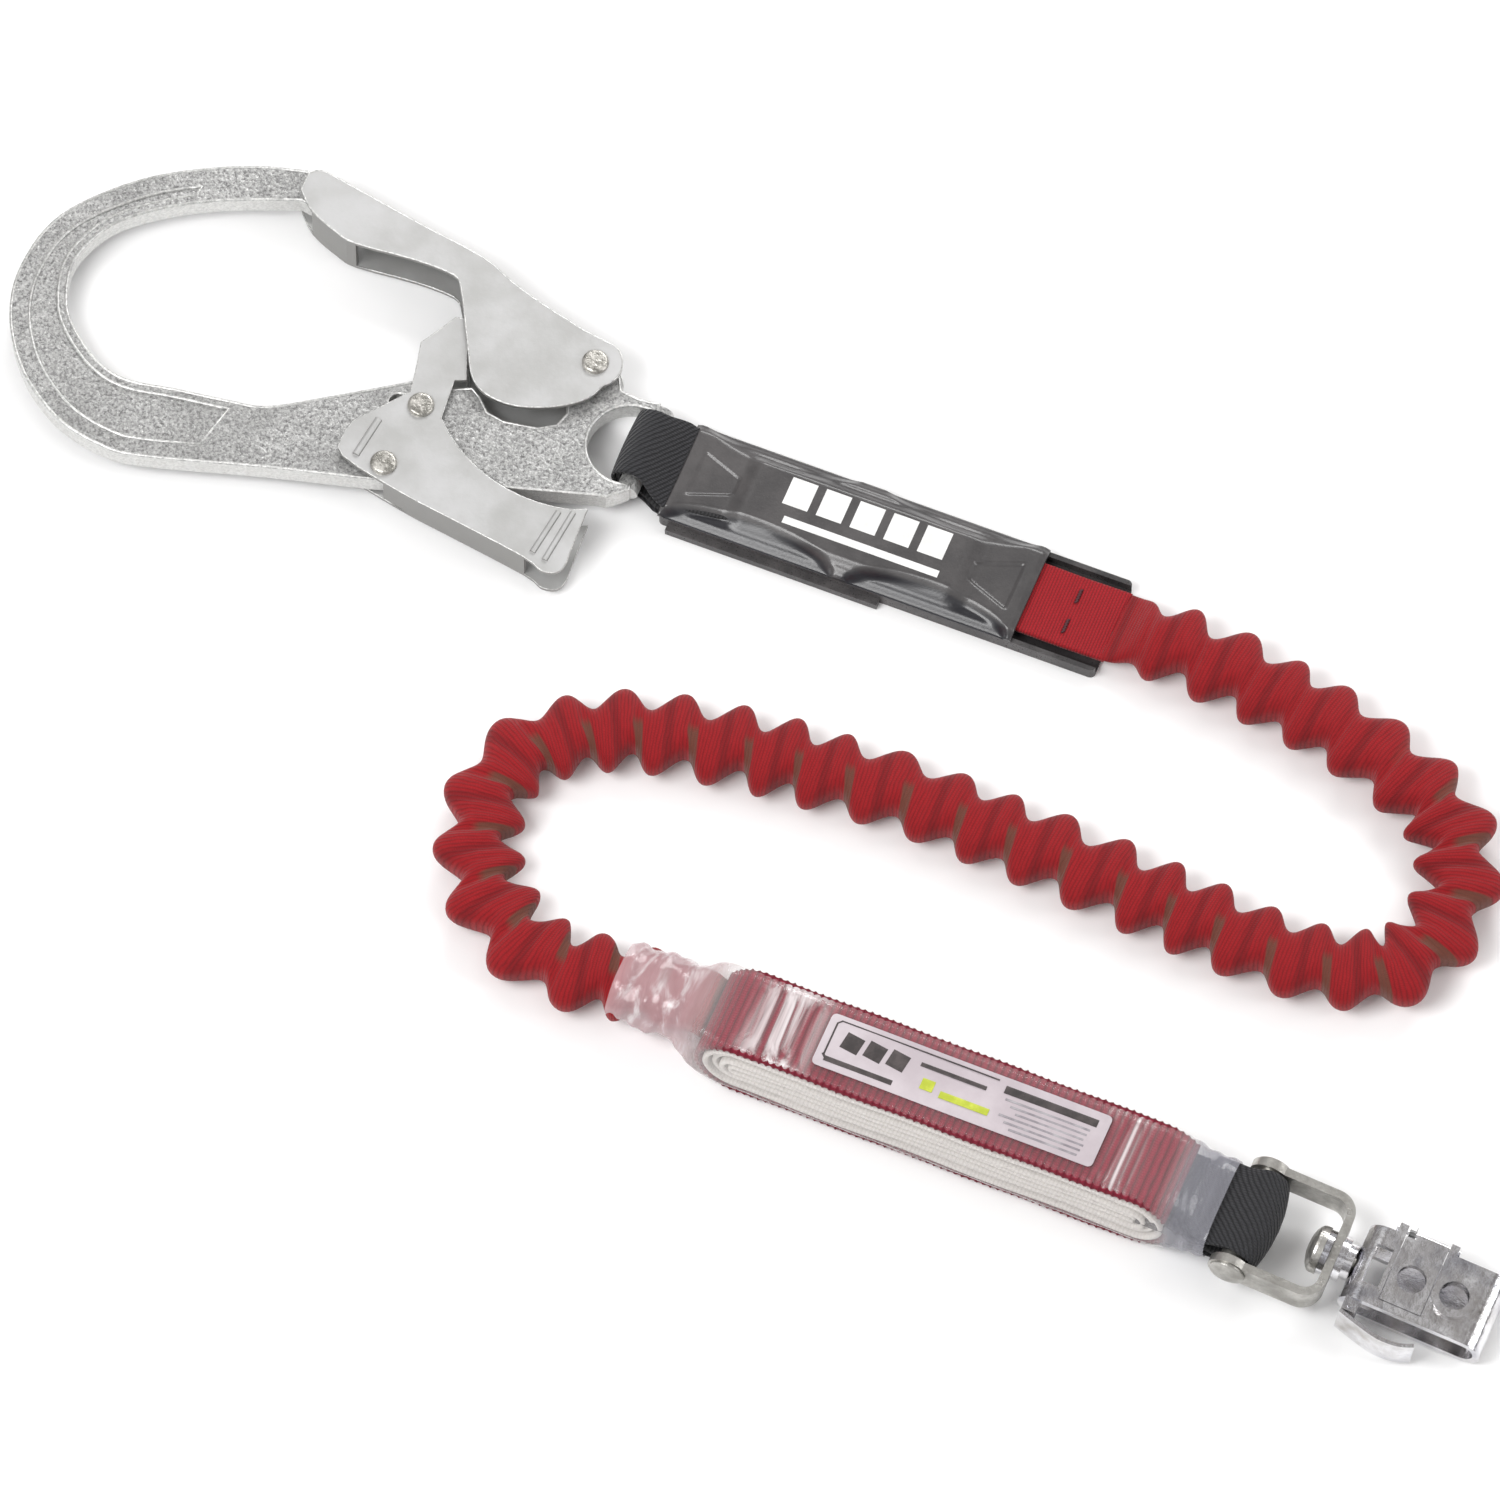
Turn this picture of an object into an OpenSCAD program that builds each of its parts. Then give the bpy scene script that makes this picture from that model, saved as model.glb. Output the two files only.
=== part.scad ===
// Shock absorbing lanyard: a large scaffold hook, a bellows strap, a tear-webbing
// absorber in clear film, and a swivelling quick connector for a harness ring.
// It lies flat on a surface, hook at the back left and connector at the front right.
// Millimetres, +Z up, origin at the middle of the rigid parts' footprint.

/* [Hook] */
// Thickness of the forged hook plate
hook_t = 8; // [6:0.5:10]
// Clear gap between the hook plate and each cheek
cheek_gap = 3.4; // [2.5:0.1:4]
// Thickness of the gate and lever sheet
sheet_t = 1.6; // [1.2:0.1:2]
// Radius of the gate pivot
gate_pin_r = 3; // [2.4:0.1:3.6]
// Radius of the lever pivot
lever_pin_r = 3; // [2.4:0.1:3.6]
// Radius of the rivet heads
rivet_head_r = 4.7; // [4.2:0.1:5.5]
// Height of the rivet heads
rivet_head_h = 1.6; // [1:0.1:1.8]
// Radius of the eye bar that carries the webbing
bar_r = 4; // [3.4:0.1:4.4]

/* [Webbing] */
// Thickness of the loop webbing
web_t = 2.2; // [1.6:0.1:2.4]
// Thickness of the wear sleeves
sleeve_t = 1.2; // [0.8:0.1:1.4]
// Width of the red strap where it lies flat
strap_w = 28; // [24:1:32]
// Thickness of the red strap where it lies flat
strap_t = 3; // [2:0.1:3]

/* [Stitch cover] */
// Width of the moulded cover
cover_w = 38; // [36:1:44]
// Length of the cover's front shell
cover_front_l = 132; // [110:1:150]
// Length of the cover's back shell
cover_back_l = 163; // [152:1:170]
// Thickness of the cover's top and floor
cover_wall = 1.4; // [1.2:0.1:1.8]

/* [Bellows] */
// Width of the bellows strap
bellows_w = 24; // [20:1:26]
// Height of the bellows strap
bellows_h = 14; // [10:1:16]

/* [Absorber] */
// Length of the folded pack
pack_l = 176; // [160:1:180]
// Width of the pack's webbing
pack_w = 33; // [28:1:34]
// Height of the pack
pack_h = 31; // [26:1:32]
// Thickness of the outer webbing
pack_web_t = 2.6; // [2:0.1:3]
// Layers of folded tear webbing
tear_layers = 8; // [4:1:10]
// Thickness of the clear film
film_t = 0.4; // [0.3:0.1:0.6]
// Label length
label_l = 105; // [60:1:120]
// Label width
label_w = 21; // [14:1:26]

/* [Yoke and connector] */
// Radius of the yoke pin
pin_r = 4.5; // [4:0.1:5]
// Clear width between the yoke arms
yoke_gap = 35.6; // [35.4:0.1:38]
// Thickness of the yoke strip
yoke_t = 3; // [2.5:0.1:3.5]
// Width of the yoke strip
yoke_strip_w = 11; // [9:0.5:13]
// Distance from the pin to the outside of the yoke's base
yoke_reach = 32.5; // [30:0.5:38]
// Radius of the swivel stud
stud_r = 4; // [3:0.1:5]
// Radius of the swivel stud's head
stud_head_r = 8.5; // [7:0.1:9]
// Length of the connector frame
frame_l = 52; // [46:1:60]
// Width of the connector frame
frame_w = 29; // [26:1:32]
// Height of the connector frame
frame_h = 14; // [12:0.5:15]
// Thickness of the connector strip
frame_t = 2.4; // [2:0.1:2.6]

/* [Hidden] */
$fn = 48;
fit = 0.05;
clear = 0.3;

// Where the groups lie: the eye bar, the pack's left end, and their headings
eye_at = [-36.4, 117.3];
hook_heading = -14.6;
cover_heading = -22;
pack_at = [-10.3, -105.4];
pack_heading = -22.7;

module at_hook() translate([eye_at[0], eye_at[1], 0]) rotate(hook_heading) children();
module at_cover() translate([eye_at[0], eye_at[1], 0]) rotate(cover_heading) children();
module at_pack() translate([pack_at[0], pack_at[1], 0]) rotate(pack_heading) children();

// A smooth curve through points, steps pieces between each pair
function curve_point(a, b, c, d, t) =
  0.5 * (2 * b + (c - a) * t + (2 * a - 5 * b + 4 * c - d) * t * t
  + (3 * b - a - 3 * c + d) * t * t * t);
function curve(pts, steps = 4) = [
  for (i = [0 : len(pts) - 2])
    for (k = [0 : steps - 1])
      curve_point(pts[max(i - 1, 0)], pts[i], pts[i + 1], pts[min(i + 2, len(pts) - 1)], k / steps),
  pts[len(pts) - 1]
];
function reversed(pts) = [for (i = [len(pts) - 1 : -1 : 0]) pts[i]];
function unit(v) = v / norm(v);
function side_of(pts, i) =
  let (d = unit(pts[min(i + 1, len(pts) - 1)] - pts[max(i - 1, 0)])) [-d[1], d[0]];
// The same curve moved sideways, to the left of its direction
function beside(pts, by) = [for (i = [0 : len(pts) - 1]) pts[i] + by * side_of(pts, i)];
function arc(c, r, a0, a1, n = 12) = [
  for (i = [0 : n]) c + r * [cos(a0 + (a1 - a0) * i / n), sin(a0 + (a1 - a0) * i / n)]
];

// ---- Hook, in its own frame: origin on the eye bar, x towards the strap ----
hook_z = 1.8;
plate_z = hook_z + sheet_t + cheek_gap;
cheek_top = plate_z + hook_t + cheek_gap;
hook_top = cheek_top + sheet_t;
bar_z = plate_z + hook_t / 2;
nest = sheet_t + clear;
lever_z = hook_z + nest;
lever_cheek_top = cheek_top - nest;
lever_top = hook_top - nest;
gate_at = [-24.4, 25.2];
lever_at = [-85.7, -30.8];
guide_at = [-79.1, -5.5];
guide_pin_r = 3;
lever_travel = 18;
bar_lean = cover_heading - hook_heading;

spine = [
  [-12.6, -23], [-50, -29], [-86.5, -35.8], [-126, -41], [-169, -47.7], [-183.4, -47.1],
  [-198.3, -42.1], [-210.1, -33.6], [-219.1, -23.6], [-226.1, -10.6], [-229.5, 2.6],
  [-229.3, 15.4], [-225.1, 30.9], [-216, 43.7], [-198.3, 57.9], [-179.3, 67.2],
  [-159.6, 73.6], [-142.4, 76.1]
];
throat = [
  [-141.2, 64.4], [-166.2, 57.9], [-185.5, 50], [-200.8, 40.1], [-208.7, 29.6],
  [-212.2, 18.3], [-209.8, 3.7], [-203.8, -5.9], [-193.5, -15.3], [-181.6, -19.8],
  [-164, -19.2], [-144.4, -18.9], [-131.5, -17.9], [-113, -9.5], [-83.9, 4.9]
];
nose = [[-134, 73.5], [-128.5, 69], [-128.5, 64.5], [-134, 62.2]];
neck_top = [
  [-72, 4.6], [-64, 7.4], [-60.5, 4.6], [-56.5, -0.6], [-50, -2.6], [-38, -2.2], [-32, 0.6],
  [-29.6, 6], [-31.6, 14], [-32.8, 20]
];
lug_top = [[-13.6, 19.2], [-6.7, 17.8], [1, 17.6]];
lug_bottom = [[-1, -17.6], [-3.2, -19.5], [-8, -22.6]];
eye_c = [-5, -0.6];
eye_r = 15.4;
bar_half = 13.8;
bar_l = 34;

module hook_outline() {
  polygon(concat(
    curve(spine), nose, curve(throat), neck_top,
    arc(gate_at, 8.5, 200, 0, 14), lug_top, lug_bottom
  ));
}

// A band that follows the hook's bend, drawn between two distances from its edges
module hook_bend_pocket() {
  outer = [for (i = [14 : 60]) beside(curve(spine), -7)[i]];
  inner = [for (i = [6 : 44]) beside(curve(throat), -3.4)[i]];
  polygon(concat(outer, inner));
}

module guide_slot() {
  for (k = [0 : 12])
    translate(lever_at)
      rotate(-0.8 + k * (lever_travel + 1.6) / 12)
        translate(guide_at - lever_at)
          circle(guide_pin_r + 0.35, $fn = 24);
}

module hook_body() {
  color([0.62, 0.62, 0.62])
    at_hook() {
      difference() {
        translate([0, 0, plate_z]) linear_extrude(hook_t) hook_outline();
        translate([eye_c[0], eye_c[1], 0]) cylinder(r = eye_r, h = 40);
        rotate(bar_lean) translate([-5, -bar_half, 0]) cube([20, 2 * bar_half, 40]);
        translate([gate_at[0], gate_at[1], 0]) cylinder(r = gate_pin_r + fit, h = 40);
        translate([lever_at[0], lever_at[1], 0]) cylinder(r = lever_pin_r + fit, h = 40);
        linear_extrude(40) guide_slot();
        translate([0, 0, plate_z + hook_t - 0.5]) linear_extrude(2) hook_bend_pocket();
      }
      rotate(bar_lean)
        translate([0, bar_l / 2, bar_z])
          rotate([90, 0, 0])
            cylinder(r = bar_r, h = bar_l);
    }
}

gate_outer = [
  [-140.9, 72.8], [-136.7, 75], [-127.1, 72.4], [-96, 62.6], [-72.9, 55.8],
  [-60.3, 48.6], [-46.3, 42.4], [-31.2, 36.6]
];
gate_heel = [
  [-19.6, 16.9], [-23, 11.2], [-30, 6.4], [-39, 3], [-48, 1.6], [-56, 2.8],
  [-61.5, 5.6], [-65.4, 10.4], [-69.5, 21], [-75.6, 37.5]
];
gate_inner = [
  [-77.8, 42.5], [-81.3, 46.4], [-96.1, 48.8], [-117.7, 49.8], [-125.5, 52.5],
  [-136, 58.6], [-141.9, 65.9]
];

gate_back = curve(gate_outer, 3);
gate_front = curve(gate_inner, 3);

module gate_outline() {
  polygon(concat(gate_back, arc(gate_at, 9.6, 60, -55, 10), curve(gate_heel, 3), gate_front));
}

// The gate's back, along its outer edge, and the stop under the hook's nose
module gate_web() {
  back = [for (i = [7 : 21]) gate_back[i]];
  stop = [for (i = [9 : 15]) gate_front[i]];
  polygon(concat(back, reversed(beside(back, -1.8))));
  polygon(concat(stop, reversed(beside(stop, -1.8))));
}

module hook_gate() {
  color([0.82, 0.82, 0.83])
    at_hook()
      difference() {
        union() {
          for (z = [hook_z, cheek_top])
            translate([0, 0, z]) linear_extrude(sheet_t) gate_outline();
          translate([0, 0, hook_z]) linear_extrude(hook_top - hook_z) gate_web();
        }
        translate([gate_at[0], gate_at[1], 0]) cylinder(r = gate_pin_r + fit, h = 40);
      }
}

// A rivet with a domed head at each end, gripping from z0 to z1
module rivet(pin_r, z0, z1) {
  dome = [for (a = [90 : -15 : 0]) [rivet_head_r * (0.72 + 0.28 * sin(a)), rivet_head_h * (0.3 + 0.7 * cos(a))]];
  head = concat([[0, 0], [rivet_head_r, 0]], dome, [[0, rivet_head_h]]);
  translate([0, 0, z0 - fit]) cylinder(r = pin_r, h = z1 - z0 + 2 * fit);
  translate([0, 0, z1 + fit - 0.01]) rotate_extrude() polygon(head);
  translate([0, 0, z0 - fit + 0.01]) mirror([0, 0, 1]) rotate_extrude() polygon(head);
}

module at_point(p, z = 0) translate([p[0], p[1], z]) children();

module gate_pivot_rivet() {
  color([0.72, 0.7, 0.66]) at_hook() at_point(gate_at) rivet(gate_pin_r, hook_z, hook_top);
}

// A torsion spring around a pin at the origin: close turns and two straight legs
module torsion_spring(pin_r, wire, h, leg, legs) {
  difference() {
    cylinder(r = pin_r + wire / 2 + wire, h = h);
    translate([0, 0, -1]) cylinder(r = pin_r + wire / 2, h = h + 2);
    for (z = [wire : wire : h - wire / 2])
      translate([0, 0, z - 0.06])
        difference() {
          cylinder(r = pin_r + 3 * wire, h = 0.12);
          translate([0, 0, -1]) cylinder(r = pin_r + wire, h = 3);
        }
  }
  for (i = [0, 1])
    rotate(legs[i])
      translate([pin_r + 0.8 * wire, -wire / 2, i * (h - wire) + 0.1]) cube([leg, wire, wire - 0.2]);
}

spring_z = plate_z + hook_t + 0.4;

module gate_spring() {
  color([0.5, 0.5, 0.5])
    at_hook() at_point(gate_at, spring_z) torsion_spring(gate_pin_r, 0.8, 2.4, 8, [190, 235]);
}

lever_front = [[-76.4, 31.4], [-72.6, 31.4], [-69.5, 21], [-66.4, 8.2], [-70.4, 7]];
lever_back = [[-79, 27.6], [-85.6, 18.6], [-84.6, 8], [-84, -1]];
lever_tail = [
  [-100.3, -17.1], [-102.4, -24], [-100.3, -31.4], [-76.6, -40.4], [-57.3, -45.9],
  [-29.1, -54], [-22.1, -57.6], [-16.6, -57], [-14.4, -53], [-14, -47.4], [-12.6, -30.2]
];
lever_foot = curve(lever_tail, 3);
heel_cut = arc(gate_at, 57.5, 276, 216, 10);

module lever_outline() {
  polygon(concat(lever_front, reversed(heel_cut), reversed(lever_foot), reversed(lever_back)));
}

lever_edge = concat([[-84, -37.9]], [for (i = [9 : 15]) lever_foot[i]]);

module lever_web() {
  polygon(concat(lever_edge, reversed(beside(lever_edge, 1.8))));
}

// A raised round rib pressed into a cheek, along a line from a to b, h proud of it
module rib(a, b, w, h) {
  d = unit(b - a);
  translate([a[0], a[1], h - w / 2])
    rotate(atan2(d[1], d[0])) rotate([0, 90, 0]) cylinder(r = w / 2, h = norm(b - a));
}

module lock_lever() {
  color([0.8, 0.8, 0.81])
    at_hook()
      difference() {
        union() {
          for (z = [lever_z, lever_cheek_top])
            translate([0, 0, z]) linear_extrude(sheet_t) lever_outline();
          translate([0, 0, lever_z]) linear_extrude(lever_top - lever_z) lever_web();
          translate([0, 0, lever_top]) rib([-17, -33], [-21.9, -53.5], 2.2, 1);
          translate([0, 0, lever_top]) rib([-22, -34], [-26.7, -51.5], 2.2, 1);
          translate([0, 0, lever_top]) rib([-91.9, -14.5], [-96, -30], 2.8, 1.1);
        }
        for (p = [lever_at, guide_at])
          translate([p[0], p[1], 0]) cylinder(r = lever_pin_r + fit, h = 40);
      }
}

module lever_pivot_rivet() {
  color([0.72, 0.7, 0.66]) at_hook() at_point(lever_at) rivet(lever_pin_r, lever_z, lever_top);
}

module lever_guide_rivet() {
  color([0.72, 0.7, 0.66]) at_hook() at_point(guide_at) rivet(guide_pin_r, lever_z, lever_top);
}

module lever_spring() {
  color([0.5, 0.5, 0.5])
    at_hook() at_point(lever_at, spring_z - 0.2) torsion_spring(lever_pin_r, 0.5, 1, 8, [-10, 30]);
}

// ---- Loop through the hook's eye, and its moulded cover ----
play = 0.1;
leg_gap = strap_t / 2 + play;
strap_z = cover_wall + play + web_t + leg_gap;
cover_h = strap_z + leg_gap + web_t + play + cover_wall;
loop_r = bar_r + fit;
cover_x = 12.4;
leg_l = 100;

// A loop seen from its side: an arc around a pin at height z, and tangent legs that
// close on a line at height z_end and run along it
function loop_points(r, z, z_end, half, l_bend, l_end) =
  let (
    c = [0, z],
    top = [l_bend, z_end + half],
    low = [l_bend, z_end - half],
    a = atan2(top[1] - z, l_bend) + acos(r / norm(top - c)),
    b = 360 + atan2(low[1] - z, l_bend) - acos(r / norm(low - c))
  )
  concat(arc(c, r, a, b, 24), [low, [l_end, low[1]], [l_end, top[1]], top]);

// The loop's wall: outer shape less inner shape, t thick, gap open between the legs
module loop_wall(r, t, z, z_end, gap, l_bend, l_end) {
  difference() {
    polygon(loop_points(r + t, z, z_end, gap + t, l_bend, l_end));
    polygon(loop_points(r, z, z_end, gap, l_bend, l_end + 2));
  }
}

module on_side(half_w) translate([0, half_w, 0]) rotate([90, 0, 0]) linear_extrude(2 * half_w) children();

// Seen from above the loop is narrow at the pin and widens along its legs
module loop_plan(half_pin, half_leg, l_end) {
  polygon([
    [-12, -half_pin], [5.5, -half_pin], [12, -half_leg], [l_end, -half_leg],
    [l_end, half_leg], [12, half_leg], [5.5, half_pin], [-12, half_pin]
  ]);
}

module hook_loop_webbing() {
  color([0.12, 0.12, 0.13])
    at_cover()
      intersection() {
        on_side(20) loop_wall(loop_r, web_t, bar_z, strap_z, leg_gap, cover_x - 1, leg_l);
        linear_extrude(40) loop_plan(12.8, 16, leg_l + 1);
      }
}

module hook_loop_sleeve() {
  r = loop_r + web_t + fit;
  color([0.11, 0.11, 0.12])
    at_cover()
      intersection() {
        on_side(20)
          loop_wall(r, sleeve_t, bar_z, strap_z, leg_gap + web_t + fit, cover_x - 1, cover_x - clear);
        linear_extrude(40) loop_plan(13.4, 17.4, leg_l);
      }
}

// Fan-shaped recess, narrow towards the middle of the cover
module fan(x, l, w0, w1) polygon([[x, -w0 / 2], [x + l, -w1 / 2], [x + l, w1 / 2], [x, w0 / 2]]);

module rounded_plan(x0, x1, w, r) {
  translate([x0 + r, -w / 2]) square([x1 - x0 - 2 * r, w]);
  translate([x0, -w / 2 + r]) square([x1 - x0, w - 2 * r]);
  for (x = [x0 + r, x1 - r], y = [-w / 2 + r, w / 2 - r]) translate([x, y]) circle(r);
}

cover_inner_w = cover_w - 3.6;

module stitch_cover_front() {
  x1 = cover_x + cover_front_l;
  color([0.22, 0.21, 0.22])
    at_cover()
      difference() {
        union() {
          translate([0, 0, strap_z + play])
            linear_extrude(cover_h - strap_z - play) rounded_plan(cover_x, x1, cover_w, 2);
          translate([0, 0, cover_h - 0.01])
            linear_extrude(0.7) rounded_plan(cover_x + 27, x1 - 24, cover_w - 12, 5);
        }
        translate([cover_x - 1, -cover_inner_w / 2, 0])
          cube([cover_front_l + 2, cover_inner_w, cover_h - cover_wall]);
        translate([0, 0, cover_h - 0.6]) linear_extrude(2) fan(cover_x + 5, 17, 25, 13);
        translate([0, 0, cover_h - 0.6]) linear_extrude(2) fan(x1 - 20, 15, 13, 25);
      }
}

module stitch_cover_back() {
  x1 = cover_x + cover_back_l;
  color([0.2, 0.19, 0.2])
    at_cover()
      difference() {
        union() {
          linear_extrude(strap_z) rounded_plan(cover_x, x1, cover_w, 2);
          translate([cover_x + 4, -cover_w / 2 - 3, 0]) cube([cover_front_l * 0.6, 3.01, 3]);
        }
        translate([cover_x - 1, -cover_inner_w / 2, cover_wall])
          cube([cover_back_l + 2, cover_inner_w, cover_h]);
      }
}

strap_x0 = 40;
strap_x1 = 177;

module strap_end() {
  color([0.66, 0.11, 0.13])
    at_cover()
      translate([strap_x0, -strap_w / 2, strap_z - strap_t / 2])
        cube([strap_x1 - strap_x0, strap_w, strap_t]);
}

module strap_end_stitches() {
  color([0.15, 0.05, 0.06])
    at_cover()
      for (y = [-6.5, 6.5])
        translate([cover_x + cover_front_l + 14, y - 1.5, strap_z + strap_t / 2])
          cube([3.2, 3, 0.5]);
}

// ---- Bellows strap: the line it lies along, and a flattened tube swept along it ----
bellows_route = [
  [127, 51, 6], [142, 44, 9], [157, 37, 9.5], [171, 30, 9.5], [187, 20, 9.5],
  [203, 10, 9.5], [217, -1, 9.5], [230, -13, 9.5], [239, -24, 9.5], [244, -40, 9.5],
  [242, -58, 9.5], [233, -73, 9.5], [221, -82, 9.5], [206, -83, 9.5], [191, -80, 9.5],
  [175, -74, 9.5], [159, -66, 9.5], [141, -57, 9.5], [123, -48, 9.5], [105, -39, 9.5],
  [87, -31, 9.5], [68, -22, 9.5], [49, -14, 9.5], [30, -8, 9.5], [12, -2, 9.5],
  [-7, 3, 9.5], [-26, 7, 9.5], [-44, 9, 9.5], [-61, 7, 9.5], [-75, 2, 9.5],
  [-86, -8, 9.5], [-92, -23, 9.5], [-93, -41, 9.5], [-88, -58, 9.5], [-77, -73, 9.5],
  [-63, -82, 9.5], [-49, -86, 10], [-37, -90, 12], [-27, -94, 14], [-20, -97, 15],
  [-12, -101, 16]
];
bellows_sides = 10;

function flat_side(pts, i) =
  let (d = pts[min(i + 1, len(pts) - 1)] - pts[max(i - 1, 0)]) unit([-d[1], d[0], 0]);
function tube_ring(pts, i, w, h, n) = [
  for (k = [0 : n - 1])
    pts[i] + flat_side(pts, i) * w / 2 * cos(360 * k / n) + [0, 0, h / 2 * sin(360 * k / n)]
];

module flat_tube(pts, w, h, n) {
  rings = len(pts);
  points = [for (i = [0 : rings - 1]) for (p = tube_ring(pts, i, w, h, n)) p];
  walls = [
    for (i = [0 : rings - 2])
      for (k = [0 : n - 1])
        [i * n + k, (i + 1) * n + k, (i + 1) * n + (k + 1) % n, i * n + (k + 1) % n]
  ];
  first = [for (k = [0 : n - 1]) k];
  last = [for (k = [n - 1 : -1 : 0]) (rings - 1) * n + k];
  polyhedron(points, concat([first], walls, [last]), convexity = 6);
}

module bellows_strap() {
  color([0.66, 0.11, 0.13]) flat_tube(bellows_route, bellows_w, bellows_h, bellows_sides);
}

// ---- Absorber: outer webbing, tear webbing, label, film and the loop at the yoke ----
pack_z = film_t + 0.2;
pack_mid = pack_z + pack_h / 2;
pin_reach = 19.5;
pin_x = pack_l + pin_reach;
loop_slot_h = 13;

module racetrack(x0, x1, z0, z1) {
  r = (z1 - z0) / 2;
  translate([x0 + r, z0]) square([x1 - x0 - 2 * r, z1 - z0]);
  translate([x0 + r, z0 + r]) circle(r, $fn = 64);
  translate([x1 - r, z0 + r]) circle(r, $fn = 64);
}

module absorber_outer_webbing() {
  color([0.6, 0.09, 0.22])
    at_pack()
      difference() {
        on_side(pack_w / 2)
          difference() {
            racetrack(-3, pack_l - 3, pack_z, pack_z + pack_h);
            racetrack(-3 + pack_web_t, pack_l - 3 - pack_web_t, pack_z + pack_web_t,
              pack_z + pack_h - pack_web_t);
          }
        translate([pack_l - 20, -25, pack_mid - loop_slot_h / 2]) cube([40, 50, loop_slot_h]);
      }
}

module tear_webbing() {
  z0 = pack_z + pack_web_t + clear;
  h = pack_h - 2 * pack_web_t - 2 * clear;
  layer = h / tear_layers;
  x0 = pack_h / 2 - 2.5;
  x1 = pack_l - pack_h / 2 - 4;
  color([0.86, 0.84, 0.8])
    at_pack()
      difference() {
        translate([x0, -pack_w / 2 + 0.6, z0]) cube([x1 - x0, pack_w - 1.2, h]);
        for (k = [1 : tear_layers - 1])
          translate([x0 + (k % 2 == 0 ? 2.5 : -2.5), -30, z0 + k * layer - 0.2])
            cube([x1 - x0, 60, 0.4]);
      }
}

module absorber_label() {
  color([0.86, 0.84, 0.88])
    at_pack()
      translate([37, 0, pack_z + pack_h + 0.05])
        linear_extrude(0.25) rounded_plan(0, label_l, label_w, 1.6);
}

yoke_leg_l = pin_x - pack_l + pack_h / 2 + 3.5;

sleeve_play = 0.8;

module at_pin_loop() at_pack() translate([pin_x, 0, 0]) mirror([1, 0, 0]) children();

module yoke_loop_webbing() {
  color([0.12, 0.12, 0.13])
    at_pin_loop()
      on_side(yoke_gap / 2 - sleeve_play - sleeve_t)
        loop_wall(pin_r + fit, web_t, pack_mid, pack_mid, clear, 14, yoke_leg_l);
}

module yoke_loop_sleeve() {
  color([0.11, 0.11, 0.12])
    at_pin_loop()
      on_side(yoke_gap / 2 - sleeve_play)
        loop_wall(pin_r + web_t + 2 * fit, sleeve_t, pack_mid, pack_mid, clear + web_t + fit, 14, 18);
}

film_half_w = pack_w / 2 + 0.4;
film_neck_y = 3;
film_h = pack_h + 2 * film_t + 0.8;
film_neck = [[-38, 14.4], [-31, 13.6], [-24, 14.6], [-16, 13.8], [-9, 15.4]];

// Outline of the film from above, grown by g
module film_plan(g) {
  w = film_half_w + g;
  far = [for (p = film_neck) [p[0], film_neck_y + p[1] + g]];
  near = [for (p = film_neck) [p[0], film_neck_y - p[1] - g]];
  end_w = yoke_gap / 2 + 0.2 + g;
  right = [[pin_x - 25, w], [pin_x - 19, end_w], [pin_x - 10, end_w]];
  polygon(concat(
    curve(concat(far, [[-4, w], [6, w]]), 3), right,
    [for (i = [2 : -1 : 0]) [right[i][0], -right[i][1]]],
    reversed(curve(concat(near, [[-4, -w], [6, -w]]), 3))
  ));
}

// Outline of the film from the side, grown by g
module film_side(g) {
  low = film_t - g;
  high = film_h - film_t + g;
  polygon(concat(
    [[-38, 23 + g], [-24, 25 + g], [-12, 27 + g], [-6, high - 2], [0, high]],
    [[pack_l - 12, high], [pack_l + 1, high - 7], [pin_x - 10, 25 + g]],
    [[pin_x - 10, 8 - g], [pack_l + 1, 6 - g], [pack_l - 12, low]],
    [[0, low], [-6, low], [-12, 3.5 - g], [-24, 3 - g], [-38, 2.4 - g]]
  ));
}

module film_solid(g, x0, x1) {
  intersection() {
    linear_extrude(50) film_plan(g);
    on_side(30) film_side(g);
    translate([x0, -40, -5]) cube([x1 - x0, 80, 60]);
  }
}

module absorber_film() {
  color([0.85, 0.85, 0.88, 0.4])
    at_pack()
      difference() {
        film_solid(film_t, -36, pin_x - 10);
        film_solid(0, -60, pin_x);
      }
}

// ---- Yoke and connector: a frame on the pin, drooping until its far end lies down ----
frame_x = yoke_reach + 5.6;
stud_end = frame_x + frame_t + 1;
tail_r = 2.4;
droop = asin((pack_mid - frame_h / 2 - 0.3) / (frame_x + frame_l - frame_h / 2));

module at_yoke()
  at_pack() translate([pin_x, 0, pack_mid]) rotate([0, droop, 0]) children();

module yoke() {
  half = yoke_gap / 2 + yoke_t;
  r = 8;
  color([0.6, 0.6, 0.58])
    at_yoke()
      difference() {
        union() {
          intersection() {
            difference() {
              translate([0, 0, -yoke_strip_w / 2])
                linear_extrude(yoke_strip_w) rounded_plan(-20, yoke_reach, 2 * half, r);
              translate([0, 0, -20])
                linear_extrude(40) rounded_plan(-24, yoke_reach - yoke_t, yoke_gap, r - yoke_t);
            }
            translate([0, -40, -20]) cube([80, 80, 40]);
          }
          for (s = [-1, 1])
            translate([0, s > 0 ? half : -yoke_gap / 2, 0])
              rotate([90, 0, 0]) cylinder(r = 7.2, h = yoke_t);
        }
        translate([0, 50, 0]) rotate([90, 0, 0]) cylinder(r = pin_r + fit, h = 100);
        rotate([0, 90, 0]) cylinder(r = stud_r + fit, h = 60);
      }
}

module dome_head(r, h) {
  rotate_extrude()
    polygon(concat([[0, 0], [r, 0]],
      [for (a = [0 : 15 : 75]) [r * cos(a), h * (0.35 + 0.65 * sin(a))]], [[0, h]]));
}

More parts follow.
